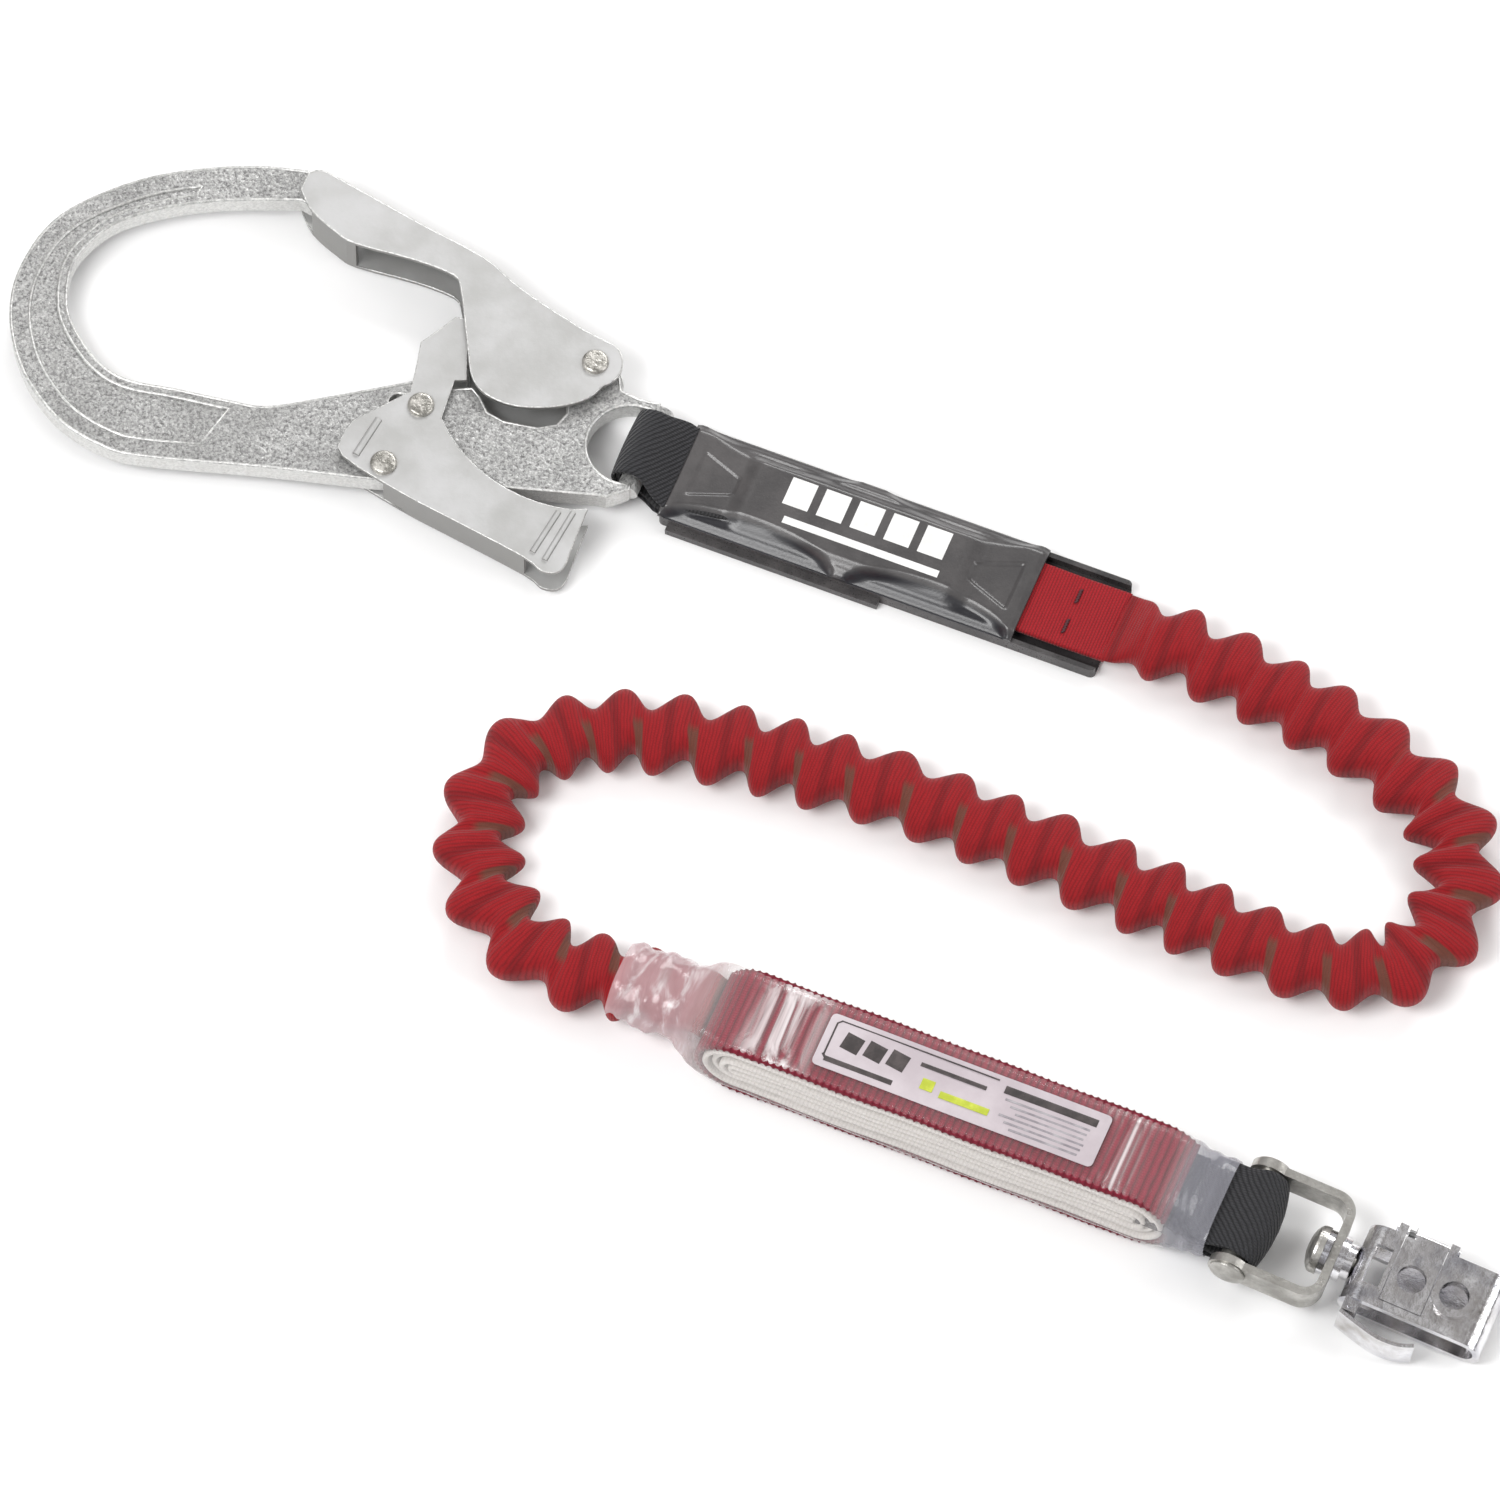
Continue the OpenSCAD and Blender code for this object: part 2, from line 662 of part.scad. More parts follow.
module yoke_pin() {
  half = yoke_gap / 2 + yoke_t;
  color([0.72, 0.7, 0.64])
    at_yoke()
      union() {
        translate([0, half, 0]) rotate([90, 0, 0]) cylinder(r = pin_r, h = 2 * half);
        translate([0, half, 0]) rotate([-90, 0, 0]) dome_head(6.4, 2);
        translate([0, -half, 0]) rotate([90, 0, 0]) dome_head(6.4, 2);
      }
}

module swivel_stud() {
  inside = yoke_reach - yoke_t;
  color([0.68, 0.66, 0.6])
    at_yoke()
      union() {
        translate([inside - 2.4, 0, 0]) rotate([0, -90, 0]) dome_head(stud_head_r, 5.6);
        translate([inside - 2.5, 0, 0])
          rotate([0, 90, 0]) cylinder(r = stud_r, h = frame_x - fit - inside + 2.5);
        translate([frame_x - 1, 0, 0]) rotate([0, 90, 0]) cylinder(r = tail_r, h = stud_end - frame_x + 1.5);
        translate([stud_end, 0, 0]) rotate([0, 90, 0]) cylinder(r = tail_r + 0.4, h = 1);
      }
}

module ring_on_stud(x, r, h) {
  translate([x, 0, 0])
    rotate([0, 90, 0])
      difference() {
        cylinder(r = r, h = h);
        translate([0, 0, -1]) cylinder(r = stud_r + fit, h = h + 2);
      }
}

module swivel_washer() {
  color([0.75, 0.75, 0.74]) at_yoke() ring_on_stud(yoke_reach - yoke_t - 2.3, 8, 2.2);
}

module swivel_collar() {
  color([0.7, 0.69, 0.66])
    at_yoke() {
      ring_on_stud(yoke_reach + 0.1, 8, 2.6);
      ring_on_stud(yoke_reach + 2.69, 6.4, frame_x - yoke_reach - 2.79);
    }
}

// ---- Connector: a flattened loop of strip, a hinged latch plate and a thumb lever ----
latch_x = frame_x + 13;
latch_l = 15;
latch_y = frame_w / 2 + 1.6;
latch_z = frame_h / 2 - frame_t / 2;
hinge_r = 0.8;
lever_x = frame_x + 5;
lever_y = -frame_w / 2 - 2.6;

module loop_profile(g) racetrack(frame_x + g, frame_x + frame_l - g, -frame_h / 2 + g, frame_h / 2 - g);

module connector_frame() {
  color([0.75, 0.76, 0.78])
    at_yoke()
      difference() {
        union() {
          on_side(frame_w / 2)
            difference() {
              loop_profile(0);
              loop_profile(frame_t);
            }
          translate([latch_x + latch_l + 4.4, 0, frame_h / 2 - 0.01])
            difference() {
              translate([3.6, 0, 0]) cylinder(r = 8, h = 1.6);
              translate([3.6, 0, -1]) cylinder(r = 5.2, h = 5);
            }
          for (x = [latch_x - 3.4, latch_x + latch_l + 0.4])
            translate([x, frame_w / 2 - 0.01, latch_z - 1.2])
              difference() {
                cube([3, 3.6, 2.4]);
                translate([-1, latch_y - frame_w / 2 + 0.01, 1.2])
                  rotate([0, 90, 0]) cylinder(r = hinge_r + fit, h = 8);
              }
          for (z = [-frame_h / 2 + 0.8, frame_h / 2 - 3.2])
            translate([lever_x - 2.6, lever_y - 2.4, z])
              difference() {
                cube([5.2, 5.2, 2.4]);
                translate([2.6, 2.4, -1]) cylinder(r = hinge_r + fit, h = 8);
              }
        }
        rotate([0, 90, 0]) cylinder(r = tail_r + fit, h = frame_x + 5);
        translate([frame_x + 5, -7.5, -20]) cube([6, 15, 40]);
        translate([latch_x - clear, -frame_w / 2 + 3, 0]) cube([latch_l + 2 * clear, frame_w, 20]);
        translate([latch_x + latch_l + 8, 0, 0]) cylinder(r = 5.2, h = 20);
      }
}

module connector_latch() {
  color([0.7, 0.71, 0.74])
    at_yoke()
      difference() {
        union() {
          translate([latch_x, -frame_w / 2 + 3.3, frame_h / 2 - frame_t])
            cube([latch_l, frame_w - 3.3 - 0.4, frame_t]);
          translate([latch_x + 3.4, 0, frame_h / 2 - frame_t]) cube([latch_l - 3.4, latch_y, frame_t]);
          translate([latch_x + 3.4, latch_y, latch_z])
            rotate([0, 90, 0]) cylinder(r = frame_t / 2, h = latch_l - 3.4);
        }
        translate([latch_x + latch_l / 2, 0, 0]) cylinder(r = 5.1, h = 20);
        translate([latch_x - 1, latch_y, latch_z])
          rotate([0, 90, 0]) cylinder(r = hinge_r + fit, h = latch_l + 2);
      }
}

// A plain pin with a small head at each end, along +Z from the origin
module headed_pin(l) {
  cylinder(r = hinge_r, h = l);
  translate([0, 0, -0.6]) cylinder(r = hinge_r + 0.5, h = 0.6);
  translate([0, 0, l]) cylinder(r = hinge_r + 0.5, h = 0.6);
}

module latch_pin() {
  color([0.6, 0.6, 0.6])
    at_yoke()
      translate([latch_x - 3.5, latch_y, latch_z]) rotate([0, 90, 0]) headed_pin(latch_l + 7);
}

module latch_spring() {
  color([0.5, 0.5, 0.5])
    at_yoke()
      translate([latch_x + 0.4, latch_y, latch_z])
        rotate([0, 90, 0]) torsion_spring(hinge_r, 0.4, 2.4, 1.6, [180, 120]);
}

knuckle_h = frame_h - 7;

module thumb_lever() {
  base_y = lever_y - 2.7;
  leaf = curve([
    [lever_x - 2.4, base_y], [lever_x + 5, base_y - 2.2],
    [lever_x + 13, base_y - 4], [lever_x + 20, base_y - 3.6], [lever_x + 25, base_y - 1.6]
  ]);
  color([0.6, 0.61, 0.64])
    at_yoke()
      difference() {
        union() {
          translate([0, 0, -frame_h / 2 + 0.4])
            linear_extrude(frame_h - 0.8) polygon(concat(leaf, reversed(beside(leaf, -1.4))));
          translate([lever_x, lever_y, -knuckle_h / 2]) cylinder(r = 2.2, h = knuckle_h - 2.4);
          translate([lever_x - 2.2, base_y - 0.5, -knuckle_h / 2]) cube([4.4, 3.2, knuckle_h - 2.4]);
        }
        translate([lever_x, lever_y, -20]) cylinder(r = hinge_r + fit, h = 40);
      }
}

module thumb_lever_pin() {
  color([0.6, 0.6, 0.6])
    at_yoke() translate([lever_x, lever_y, -frame_h / 2 + 0.75]) headed_pin(frame_h - 1.5);
}

module thumb_lever_spring() {
  color([0.5, 0.5, 0.5])
    at_yoke()
      translate([lever_x, lever_y, knuckle_h / 2 - 2.2]) torsion_spring(hinge_r, 0.5, 2, 1.4, [90, 250]);
}

hook_body();
hook_gate();
gate_pivot_rivet();
gate_spring();
lock_lever();
lever_pivot_rivet();
lever_guide_rivet();
lever_spring();
hook_loop_webbing();
hook_loop_sleeve();
stitch_cover_front();
stitch_cover_back();
strap_end();
strap_end_stitches();
bellows_strap();
absorber_film();
absorber_outer_webbing();
tear_webbing();
absorber_label();
yoke_loop_webbing();
yoke_loop_sleeve();
yoke();
yoke_pin();
swivel_stud();
swivel_washer();
swivel_collar();
connector_frame();
connector_latch();
latch_pin();
latch_spring();
thumb_lever();
thumb_lever_pin();
thumb_lever_spring();
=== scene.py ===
import math

import bpy
import numpy as np
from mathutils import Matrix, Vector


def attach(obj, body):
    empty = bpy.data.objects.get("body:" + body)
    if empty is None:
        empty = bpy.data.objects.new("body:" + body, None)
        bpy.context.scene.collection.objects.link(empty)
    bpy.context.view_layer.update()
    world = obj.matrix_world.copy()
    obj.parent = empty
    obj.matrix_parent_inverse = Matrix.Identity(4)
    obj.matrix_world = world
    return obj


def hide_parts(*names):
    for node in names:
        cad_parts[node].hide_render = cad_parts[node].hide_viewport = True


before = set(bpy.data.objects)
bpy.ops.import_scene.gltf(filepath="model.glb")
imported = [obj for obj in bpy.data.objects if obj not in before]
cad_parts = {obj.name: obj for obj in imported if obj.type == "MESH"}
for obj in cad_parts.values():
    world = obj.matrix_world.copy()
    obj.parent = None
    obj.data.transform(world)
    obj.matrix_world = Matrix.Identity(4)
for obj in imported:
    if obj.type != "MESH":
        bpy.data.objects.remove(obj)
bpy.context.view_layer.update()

# ---- Stage: the camera, the pale floor and the softboxes ----
# The part lies flat on a white table under three softboxes in a pale room.
# The camera stands in front of it and looks down at 63 degrees.
AIM = (0.0002, 0.0064, 0.0)
ELEVATION = math.radians(63)
CAMERA_DISTANCE = 5.76
LENS = 400

camera_data = bpy.data.cameras.new("camera")
camera_data.lens = LENS
camera_data.sensor_width = 36
camera_data.clip_start = 0.05
camera_data.clip_end = 20
camera = bpy.data.objects.new("camera", camera_data)
camera.location = (
    AIM[0],
    AIM[1] - CAMERA_DISTANCE * math.cos(ELEVATION),
    AIM[2] + CAMERA_DISTANCE * math.sin(ELEVATION),
)
camera.rotation_euler = (math.pi / 2 - ELEVATION, 0, 0)
bpy.context.scene.collection.objects.link(camera)
bpy.context.scene.camera = camera
bpy.context.scene.view_settings.view_transform = "Standard"
bpy.context.scene.view_settings.look = "None"


def add(tree, kind, inputs=None, **settings):
    """Adds a node to a tree; an input is a value or another node's socket."""
    made = tree.nodes.new(kind)
    for name, value in settings.items():
        setattr(made, name, value)
    for name, value in (inputs or {}).items():
        if isinstance(value, bpy.types.NodeSocket):
            tree.links.new(value, made.inputs[name])
        else:
            made.inputs[name].default_value = value
    return made


def calc(tree, operation, *values, clamp=False):
    """A Math node's output."""
    return add(
        tree, "ShaderNodeMath", dict(enumerate(values)), operation=operation, use_clamp=clamp
    ).outputs[0]


def step_up(tree, value, low, high):
    """0 below low, 1 above high, and smooth between them."""
    made = add(
        tree,
        "ShaderNodeMapRange",
        {"Value": value, "From Min": low, "From Max": high},
        interpolation_type="SMOOTHSTEP",
    )
    return made.outputs[0]


def mix_color(tree, factor, a, b, kind="MIX"):
    """Two colours mixed by a factor."""
    made = add(tree, "ShaderNodeMix", data_type="RGBA", blend_type=kind)
    for index, value in ((0, factor), (6, a), (7, b)):
        if isinstance(value, bpy.types.NodeSocket):
            tree.links.new(value, made.inputs[index])
        else:
            made.inputs[index].default_value = value
    return made.outputs[2]


def new_material(name, **values):
    """A material with one Principled BSDF; returns it, its tree and the shader."""
    made = bpy.data.materials.new(name)
    made.use_nodes = True
    shader = made.node_tree.nodes["Principled BSDF"]
    for key, value in values.items():
        shader.inputs[key.replace("_", " ")].default_value = value
    return made, made.node_tree, shader


def new_group(name, inputs, outputs):
    """A shader node group; returns it and its two end nodes."""
    made = bpy.data.node_groups.new(name, "ShaderNodeTree")
    for key, value in inputs.items():
        kind = "NodeSocketVector" if isinstance(value, tuple) else "NodeSocketFloat"
        socket = made.interface.new_socket(key, in_out="INPUT", socket_type=kind)
        socket.default_value = value
    for key, kind in outputs.items():
        made.interface.new_socket(key, in_out="OUTPUT", socket_type="NodeSocket" + kind)
    return made, made.nodes.new("NodeGroupInput"), made.nodes.new("NodeGroupOutput")


def use_group(tree, group, **inputs):
    """Places a node group in a material with its own values."""
    made = add(tree, "ShaderNodeGroup")
    made.node_tree = group
    for key, value in inputs.items():
        key = key.replace("_", " ")
        if isinstance(value, bpy.types.NodeSocket):
            tree.links.new(value, made.inputs[key])
        else:
            made.inputs[key].default_value = value
    return made


TABLE_HALF = 6
floor_corners = [(x * TABLE_HALF, y * TABLE_HALF, 0) for x, y in ((-1, -1), (1, -1), (1, 1), (-1, 1))]
floor_mesh = bpy.data.meshes.new("table_top")
floor_mesh.from_pydata(floor_corners, [], [(0, 1, 2, 3)])
table_top = bpy.data.objects.new("table_top", floor_mesh)
table_top.location.z = -0.0002
bpy.context.scene.collection.objects.link(table_top)
floor_finish, _, floor_shader = new_material(
    "white_table", Base_Color=(0.93, 0.93, 0.93, 1), Roughness=0.75
)
floor_shader.inputs["Specular IOR Level"].default_value = 0.1
floor_mesh.materials.append(floor_finish)


def softbox(name, place, aim, size, watts):
    """An area light at a place, facing a point."""
    data = bpy.data.lights.new(name, "AREA")
    data.energy = watts
    data.shape = "RECTANGLE"
    data.size, data.size_y = size
    lamp = bpy.data.objects.new(name, data)
    lamp.location = place
    way = Vector(aim) - Vector(place)
    lamp.rotation_euler = way.to_track_quat("-Z", "Y").to_euler()
    bpy.context.scene.collection.objects.link(lamp)


softbox("key_softbox", (-0.9, -0.5, 1.5), (0, 0, 0), (1.0, 0.8), 22)
softbox("back_softbox", (0.5, 1.3, 1.1), (0, 0, 0), (1.4, 0.5), 15)
softbox("side_softbox", (1.4, -0.3, 0.8), (0, 0, 0), (0.5, 0.9), 6)

room = bpy.data.worlds.new("pale_room")
bpy.context.scene.world = room
room.use_nodes = True
room_tree = room.node_tree
room_way = add(room_tree, "ShaderNodeTexCoord").outputs["Generated"]
room_height = add(room_tree, "ShaderNodeSeparateXYZ", {0: room_way}).outputs[2]
room_color = mix_color(
    room_tree,
    step_up(room_tree, room_height, 0.05, 0.75),
    (0.42, 0.43, 0.45, 1),
    (1.0, 1.0, 1.0, 1),
)
# Dark furniture and bright walls, seen only as soft zones in the shiny metal
room_zones = add(room_tree, "ShaderNodeTexNoise",
    {"Vector": room_way, "Scale": 2.6, "Detail": 1.0}).outputs[0]
room_color = mix_color(
    room_tree, step_up(room_tree, room_zones, 0.40, 0.56), (0.30, 0.28, 0.27, 1), room_color
)
room_color = mix_color(
    room_tree, step_up(room_tree, room_zones, 0.60, 0.70), room_color, (1.7, 1.7, 1.7, 1)
)
room_light = room_tree.nodes["Background"]
room_tree.links.new(room_color, room_light.inputs[0])
room_light.inputs[1].default_value = 0.84


def lay_out(points, at, heading):
    """Millimetres in a group's own frame to metres in the part's frame."""
    p = np.asarray(points, float)
    turn = math.radians(heading)
    x = at[0] + p[..., 0] * math.cos(turn) - p[..., 1] * math.sin(turn)
    y = at[1] + p[..., 0] * math.sin(turn) + p[..., 1] * math.cos(turn)
    return np.stack([x, y, p[..., 2]], -1) / 1000


def skin(name, points, uv, wrap_rows=False, wrap_columns=False, close_ends=False, smooth=True):
    """A grid of points, rows by columns, made into quads. uv has one more row or
    column than the points where the grid wraps, and is in metres."""
    rows, columns = points.shape[:2]
    corners = [
        (i, j)
        for i in range(rows if wrap_rows else rows - 1)
        for j in range(columns if wrap_columns else columns - 1)
    ]
    faces = []
    face_uv = []
    for i, j in corners:
        ring = [(i, j), (i + 1, j), (i + 1, j + 1), (i, j + 1)]
        faces.append([(a % rows) * columns + b % columns for a, b in ring])
        face_uv.append([tuple(uv[a, b]) for a, b in ring])
    if close_ends:
        for row, order in ((0, 1), (rows - 1, -1)):
            loop = list(range(columns))[::order]
            faces.append([row * columns + j for j in loop])
            face_uv.append([tuple(uv[row, j]) for j in loop])
    mesh = bpy.data.meshes.new(name)
    mesh.from_pydata(points.reshape(-1, 3).tolist(), [], faces)
    layer = mesh.uv_layers.new(name="cloth")
    layer.data.foreach_set("uv", np.array([c for f in face_uv for c in f], float).ravel())
    if smooth:
        mesh.polygons.foreach_set("use_smooth", [True] * len(mesh.polygons))
    mesh.update()
    made = bpy.data.objects.new(name, mesh)
    bpy.context.scene.collection.objects.link(made)
    return made


def smooth_line(points, spacing):
    """Points at even spacing along a Catmull-Rom curve through the given ones."""
    p = np.asarray(points, float)
    padded = np.vstack([2 * p[0] - p[1], p, 2 * p[-1] - p[-2]])
    fine = []
    for a, b, c, d in zip(padded, padded[1:], padded[2:], padded[3:]):
        t = np.linspace(0, 1, 24, endpoint=False)[:, None]
        fine.append(
            0.5 * (2 * b + (c - a) * t + (2 * a - 5 * b + 4 * c - d) * t**2
                   + (3 * b - a - 3 * c + d) * t**3)
        )
    fine = np.vstack(fine + [p[-1:]])
    run = np.concatenate([[0], np.cumsum(np.linalg.norm(np.diff(fine, axis=0), axis=1))])
    even = np.linspace(0, run[-1], max(2, round(run[-1] / spacing) + 1))
    return np.stack([np.interp(even, run, fine[:, k]) for k in range(3)], -1), even


def ramp_up(values, low, high):
    """The same smooth step for arrays."""
    t = np.clip((np.asarray(values, float) - low) / (high - low), 0, 1)
    return t * t * (3 - 2 * t)


# ---- Bellows strap: the elastic part between the hook end and the absorber ----
# A red woven tube, gathered on elastic so that it runs in even waves, with
# brown painted shade in every second fold. It lies loose in an S on the table.
COVER_AT, COVER_HEADING = (-36.4, 117.3), -22
PACK_AT, PACK_HEADING = (-10.3, -105.4), -22.7

BELLOWS_ROUTE = [
    (127, 51, 6), (142, 44, 9), (157, 37, 9.5), (171, 30, 9.5), (187, 20, 9.5),
    (203, 10, 9.5), (217, -1, 9.5), (230, -13, 9.5), (239, -24, 9.5), (244, -40, 9.5),
    (242, -58, 9.5), (233, -73, 9.5), (221, -82, 9.5), (206, -83, 9.5), (191, -80, 9.5),
    (175, -74, 9.5), (159, -66, 9.5), (141, -57, 9.5), (123, -48, 9.5), (105, -39, 9.5),
    (87, -31, 9.5), (68, -22, 9.5), (49, -14, 9.5), (30, -8, 9.5), (12, -2, 9.5),
    (-7, 3, 9.5), (-26, 7, 9.5), (-44, 9, 9.5), (-61, 7, 9.5), (-75, 2, 9.5),
    (-86, -8, 9.5), (-92, -23, 9.5), (-93, -41, 9.5), (-88, -58, 9.5), (-77, -73, 9.5),
    (-63, -82, 9.5), (-49, -86, 10), (-37, -90, 12), (-27, -94, 14), (-20, -97, 15),
    (-12, -101, 16),
]
WAVE_LENGTH = 19.5
LOBE = 4.1
LOBE_LEAN = 0.6
LOBE_LAG = 0.66 * math.pi
BELLOWS_HALF_W = 11.7
BELLOWS_HALF_H = 8.0

route, run = smooth_line(BELLOWS_ROUTE, 0.9)
ahead = np.gradient(route, axis=0)
ahead /= np.linalg.norm(ahead, axis=1)[:, None]
aside = np.stack([-ahead[:, 1], ahead[:, 0], 0 * run], -1)
aside /= np.linalg.norm(aside, axis=1)[:, None]
bellows_l = run[-1]
# The waves fade out where the strap is sewn flat, and shrink inside the film's neck
wave = 2 * math.pi * run / WAVE_LENGTH + 0.5 * np.sin(run / 37) + 0.3 * np.sin(run / 11.3)
swell = ramp_up(run, 2, 24) * (1 - 0.75 * ramp_up(run, bellows_l - 34, bellows_l - 14))
swell *= 1 + 0.13 * np.sin(run / 23 + 1)
flatness = 1 - ramp_up(run, 0, 16)


def lobes(phase):
    """A wave with broad round lobes and narrower dips, from about -1 to 1."""
    return np.sin(phase) + 0.07 * np.cos(2 * phase)


def crease(phase, width):
    """1 in a narrow fold at phase 0, and 0 elsewhere."""
    off = (phase + math.pi) % (2 * math.pi) - math.pi
    return np.exp(-((off / width) ** 2))


TUBE_SIDES = 48
DEEP_FOLD_AT = 1.75
around = np.linspace(0, 2 * math.pi, TUBE_SIDES, endpoint=False)
half_w = BELLOWS_HALF_W + 2.2 * flatness
half_h = BELLOWS_HALF_H - 6.5 * flatness - 1.2 * ramp_up(run, bellows_l - 34, bellows_l - 14)
side_of = np.cos(around)
lift_of = np.sign(np.sin(around)) * np.abs(np.sin(around)) ** 0.75
rings = []
for i in range(len(run)):
    lobe = np.where(side_of < 0, lobes(wave[i] + math.pi / 2),
        lobes(wave[i] + math.pi / 2 - LOBE_LAG))
    push = LOBE * swell[i] * lobe * np.abs(side_of) ** 1.3
    across = side_of * half_w[i] + np.sign(side_of) * push
    forward = LOBE_LEAN * np.sign(side_of) * swell[i] * lobe * np.abs(side_of)
    # Folds run across the face: a deep one, which the material paints with brown shade, and a shallow one
    lean = wave[i] + 0.4 * side_of
    depth = 1.6 * crease(lean + DEEP_FOLD_AT, 0.5) + 1.0 * crease(lean - 0.9, 0.6)
    depth += 0.4 * crease(lean - 2.4, 0.4)
    height = lift_of * (half_h[i] - swell[i] * depth * np.abs(np.sin(around)) ** 0.5)
    rings.append(
        route[i]
        + aside[i] * across[:, None]
        + ahead[i] * forward[:, None]
        + np.array([0, 0, 1]) * height[:, None]
    )
rings = np.array(rings) / 1000
rings[:, :, 2] = np.maximum(rings[:, :, 2], 0.0004)
bellows_uv = np.zeros((len(run), TUBE_SIDES + 1, 2))
bellows_uv[:, :, 0] = wave[:, None] * WAVE_LENGTH / (2 * math.pi) / 1000
bellows_uv[:, :, 1] = np.linspace(0, 1, TUBE_SIDES + 1)[None, :]
bellows = skin(
    "bellows_cover", rings, bellows_uv, wrap_columns=True, close_ends=True
)

# Cloth ribs: raised rows across the webbing, each row broken up by its threads
cloth_ribs, g_in, g_out = new_group(
    "cloth_ribs",
    {"Along": 0.0, "Across": 0.0, "Rib": 0.0016, "Thread": 0.0006, "Unevenness": 0.25},
    {"Height": "Float", "Shade": "Float"},
)
row = calc(cloth_ribs, "DIVIDE", g_in.outputs["Along"], g_in.outputs["Rib"])
thread = calc(cloth_ribs, "DIVIDE", g_in.outputs["Across"], g_in.outputs["Thread"])
place_2d = add(cloth_ribs, "ShaderNodeCombineXYZ",
    {0: row, 1: calc(cloth_ribs, "MULTIPLY", thread, 0.2)})
uneven = add(
    cloth_ribs, "ShaderNodeTexNoise", {"Vector": place_2d.outputs[0], "Scale": 0.8, "Detail": 3.0}
).outputs[0]
shift = calc(cloth_ribs, "MULTIPLY", calc(cloth_ribs, "SUBTRACT", uneven, 0.5),
    g_in.outputs["Unevenness"])
row_wave = calc(cloth_ribs, "ABSOLUTE", calc(
    cloth_ribs, "SINE",
        calc(cloth_ribs, "MULTIPLY", calc(cloth_ribs, "ADD", row, shift), math.pi)))
thread_wave = calc(cloth_ribs, "ABSOLUTE", calc(
    cloth_ribs, "SINE", calc(cloth_ribs, "MULTIPLY", calc(cloth_ribs, "ADD", thread, calc(
        cloth_ribs, "MULTIPLY", calc(cloth_ribs, "FLOOR", row), 0.5)), math.pi)))
rib_height = calc(cloth_ribs, "MULTIPLY", calc(cloth_ribs, "POWER", row_wave, 0.6),
                  calc(cloth_ribs, "MULTIPLY_ADD", thread_wave, 0.35, 0.65))
cloth_ribs.links.new(rib_height, g_out.inputs["Height"])
rib_shade = calc(cloth_ribs, "MULTIPLY_ADD", rib_height, 0.7,
    calc(cloth_ribs, "MULTIPLY", uneven, 0.35))
cloth_ribs.links.new(rib_shade, g_out.inputs["Shade"])


def cloth_uv(tree, name="cloth"):
    """The along and across sockets of a piece's cloth map."""
    mapped = add(tree, "ShaderNodeUVMap", uv_map=name).outputs[0]
    split = add(tree, "ShaderNodeSeparateXYZ", {0: mapped})
    return split.outputs[0], split.outputs[1]


def bump(tree, shader, height, distance, strength=1.0):
    """Feeds a height to the shader's normal through a Bump node."""
    made = add(tree, "ShaderNodeBump",
        {"Height": height, "Distance": distance, "Strength": strength})
    tree.links.new(made.outputs[0], shader.inputs["Normal"])


bellows_finish, tree, shader = new_material("bellows_webbing", Roughness=0.85)
shader.inputs["Sheen Weight"].default_value = 0.15
shader.inputs["Sheen Roughness"].default_value = 0.5
shader.inputs["Specular IOR Level"].default_value = 0.25
along, across = cloth_uv(tree)
ribs = use_group(tree, cloth_ribs, Along=along, Across=across, Rib=0.0012, Thread=0.011,
    Unevenness=0.9)
turn = calc(tree, "MULTIPLY", along, 2 * math.pi / (WAVE_LENGTH / 1000))
side = calc(tree, "COSINE", calc(tree, "MULTIPLY", across, 2 * math.pi))
# Painted shade: where a wave has swung to one side, the deep fold on the other is painted brown
lean = calc(tree, "MULTIPLY_ADD", side, 0.4, turn)
fold = calc(tree, "COSINE", calc(tree, "ADD", lean, DEEP_FOLD_AT))
patch = add(tree, "ShaderNodeTexNoise", {"Vector": add(
    tree, "ShaderNodeCombineXYZ", {0: calc(tree, "MULTIPLY", along, 60.0), 1: across}).outputs[0],
        "Scale": 2.0}).outputs[0]
deep_fold_shade = calc(tree, "MULTIPLY",
    step_up(tree, calc(tree, "MULTIPLY_ADD", patch, 0.16, fold), 0.86, 0.98),
               step_up(tree, side, -0.3, 0.1))
# Painted shade: the shallow fold is painted a darker red
shallow_fold_shade = step_up(tree, calc(tree, "COSINE", calc(tree, "SUBTRACT", lean, 0.9)), 0.80, 1.0)
red = mix_color(tree, ribs.outputs["Shade"], (0.13, 0.003, 0.005, 1), (0.31, 0.006, 0.010, 1))
red = mix_color(tree, calc(tree, "MULTIPLY", shallow_fold_shade, 0.4), red, (0.07, 0.002, 0.004, 1))
# The painted brown shade fades in only after the first 10 cm
deep_fold_shade = calc(tree, "MULTIPLY", deep_fold_shade, step_up(tree, along, 0.10, 0.14))
cloth = mix_color(tree, calc(tree, "MULTIPLY", deep_fold_shade, 0.85), red, (0.115, 0.047, 0.03, 1))
tree.links.new(cloth, shader.inputs["Base Color"])
bump(tree, shader, ribs.outputs["Height"], 0.0004, 0.55)
bellows.data.materials.append(bellows_finish)
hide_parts("bellows_strap")
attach(bellows, "lanyard")

# ---- Flat strap end: the red webbing where the bellows is sewn into the cover ----
# Flat woven polyester, 28 mm wide, seen in the cover's cut-out, with two short
# rows of dark stitching across it.
STRAP_Z = 5.25
strap_xs = np.linspace(60, 177, 100)
strap_ys = np.array([-14, -13.8, *np.linspace(-13, 13, 12), 13.8, 14])
strap_top = 1.1 - 0.8 * (np.abs(strap_ys) > 13.9)


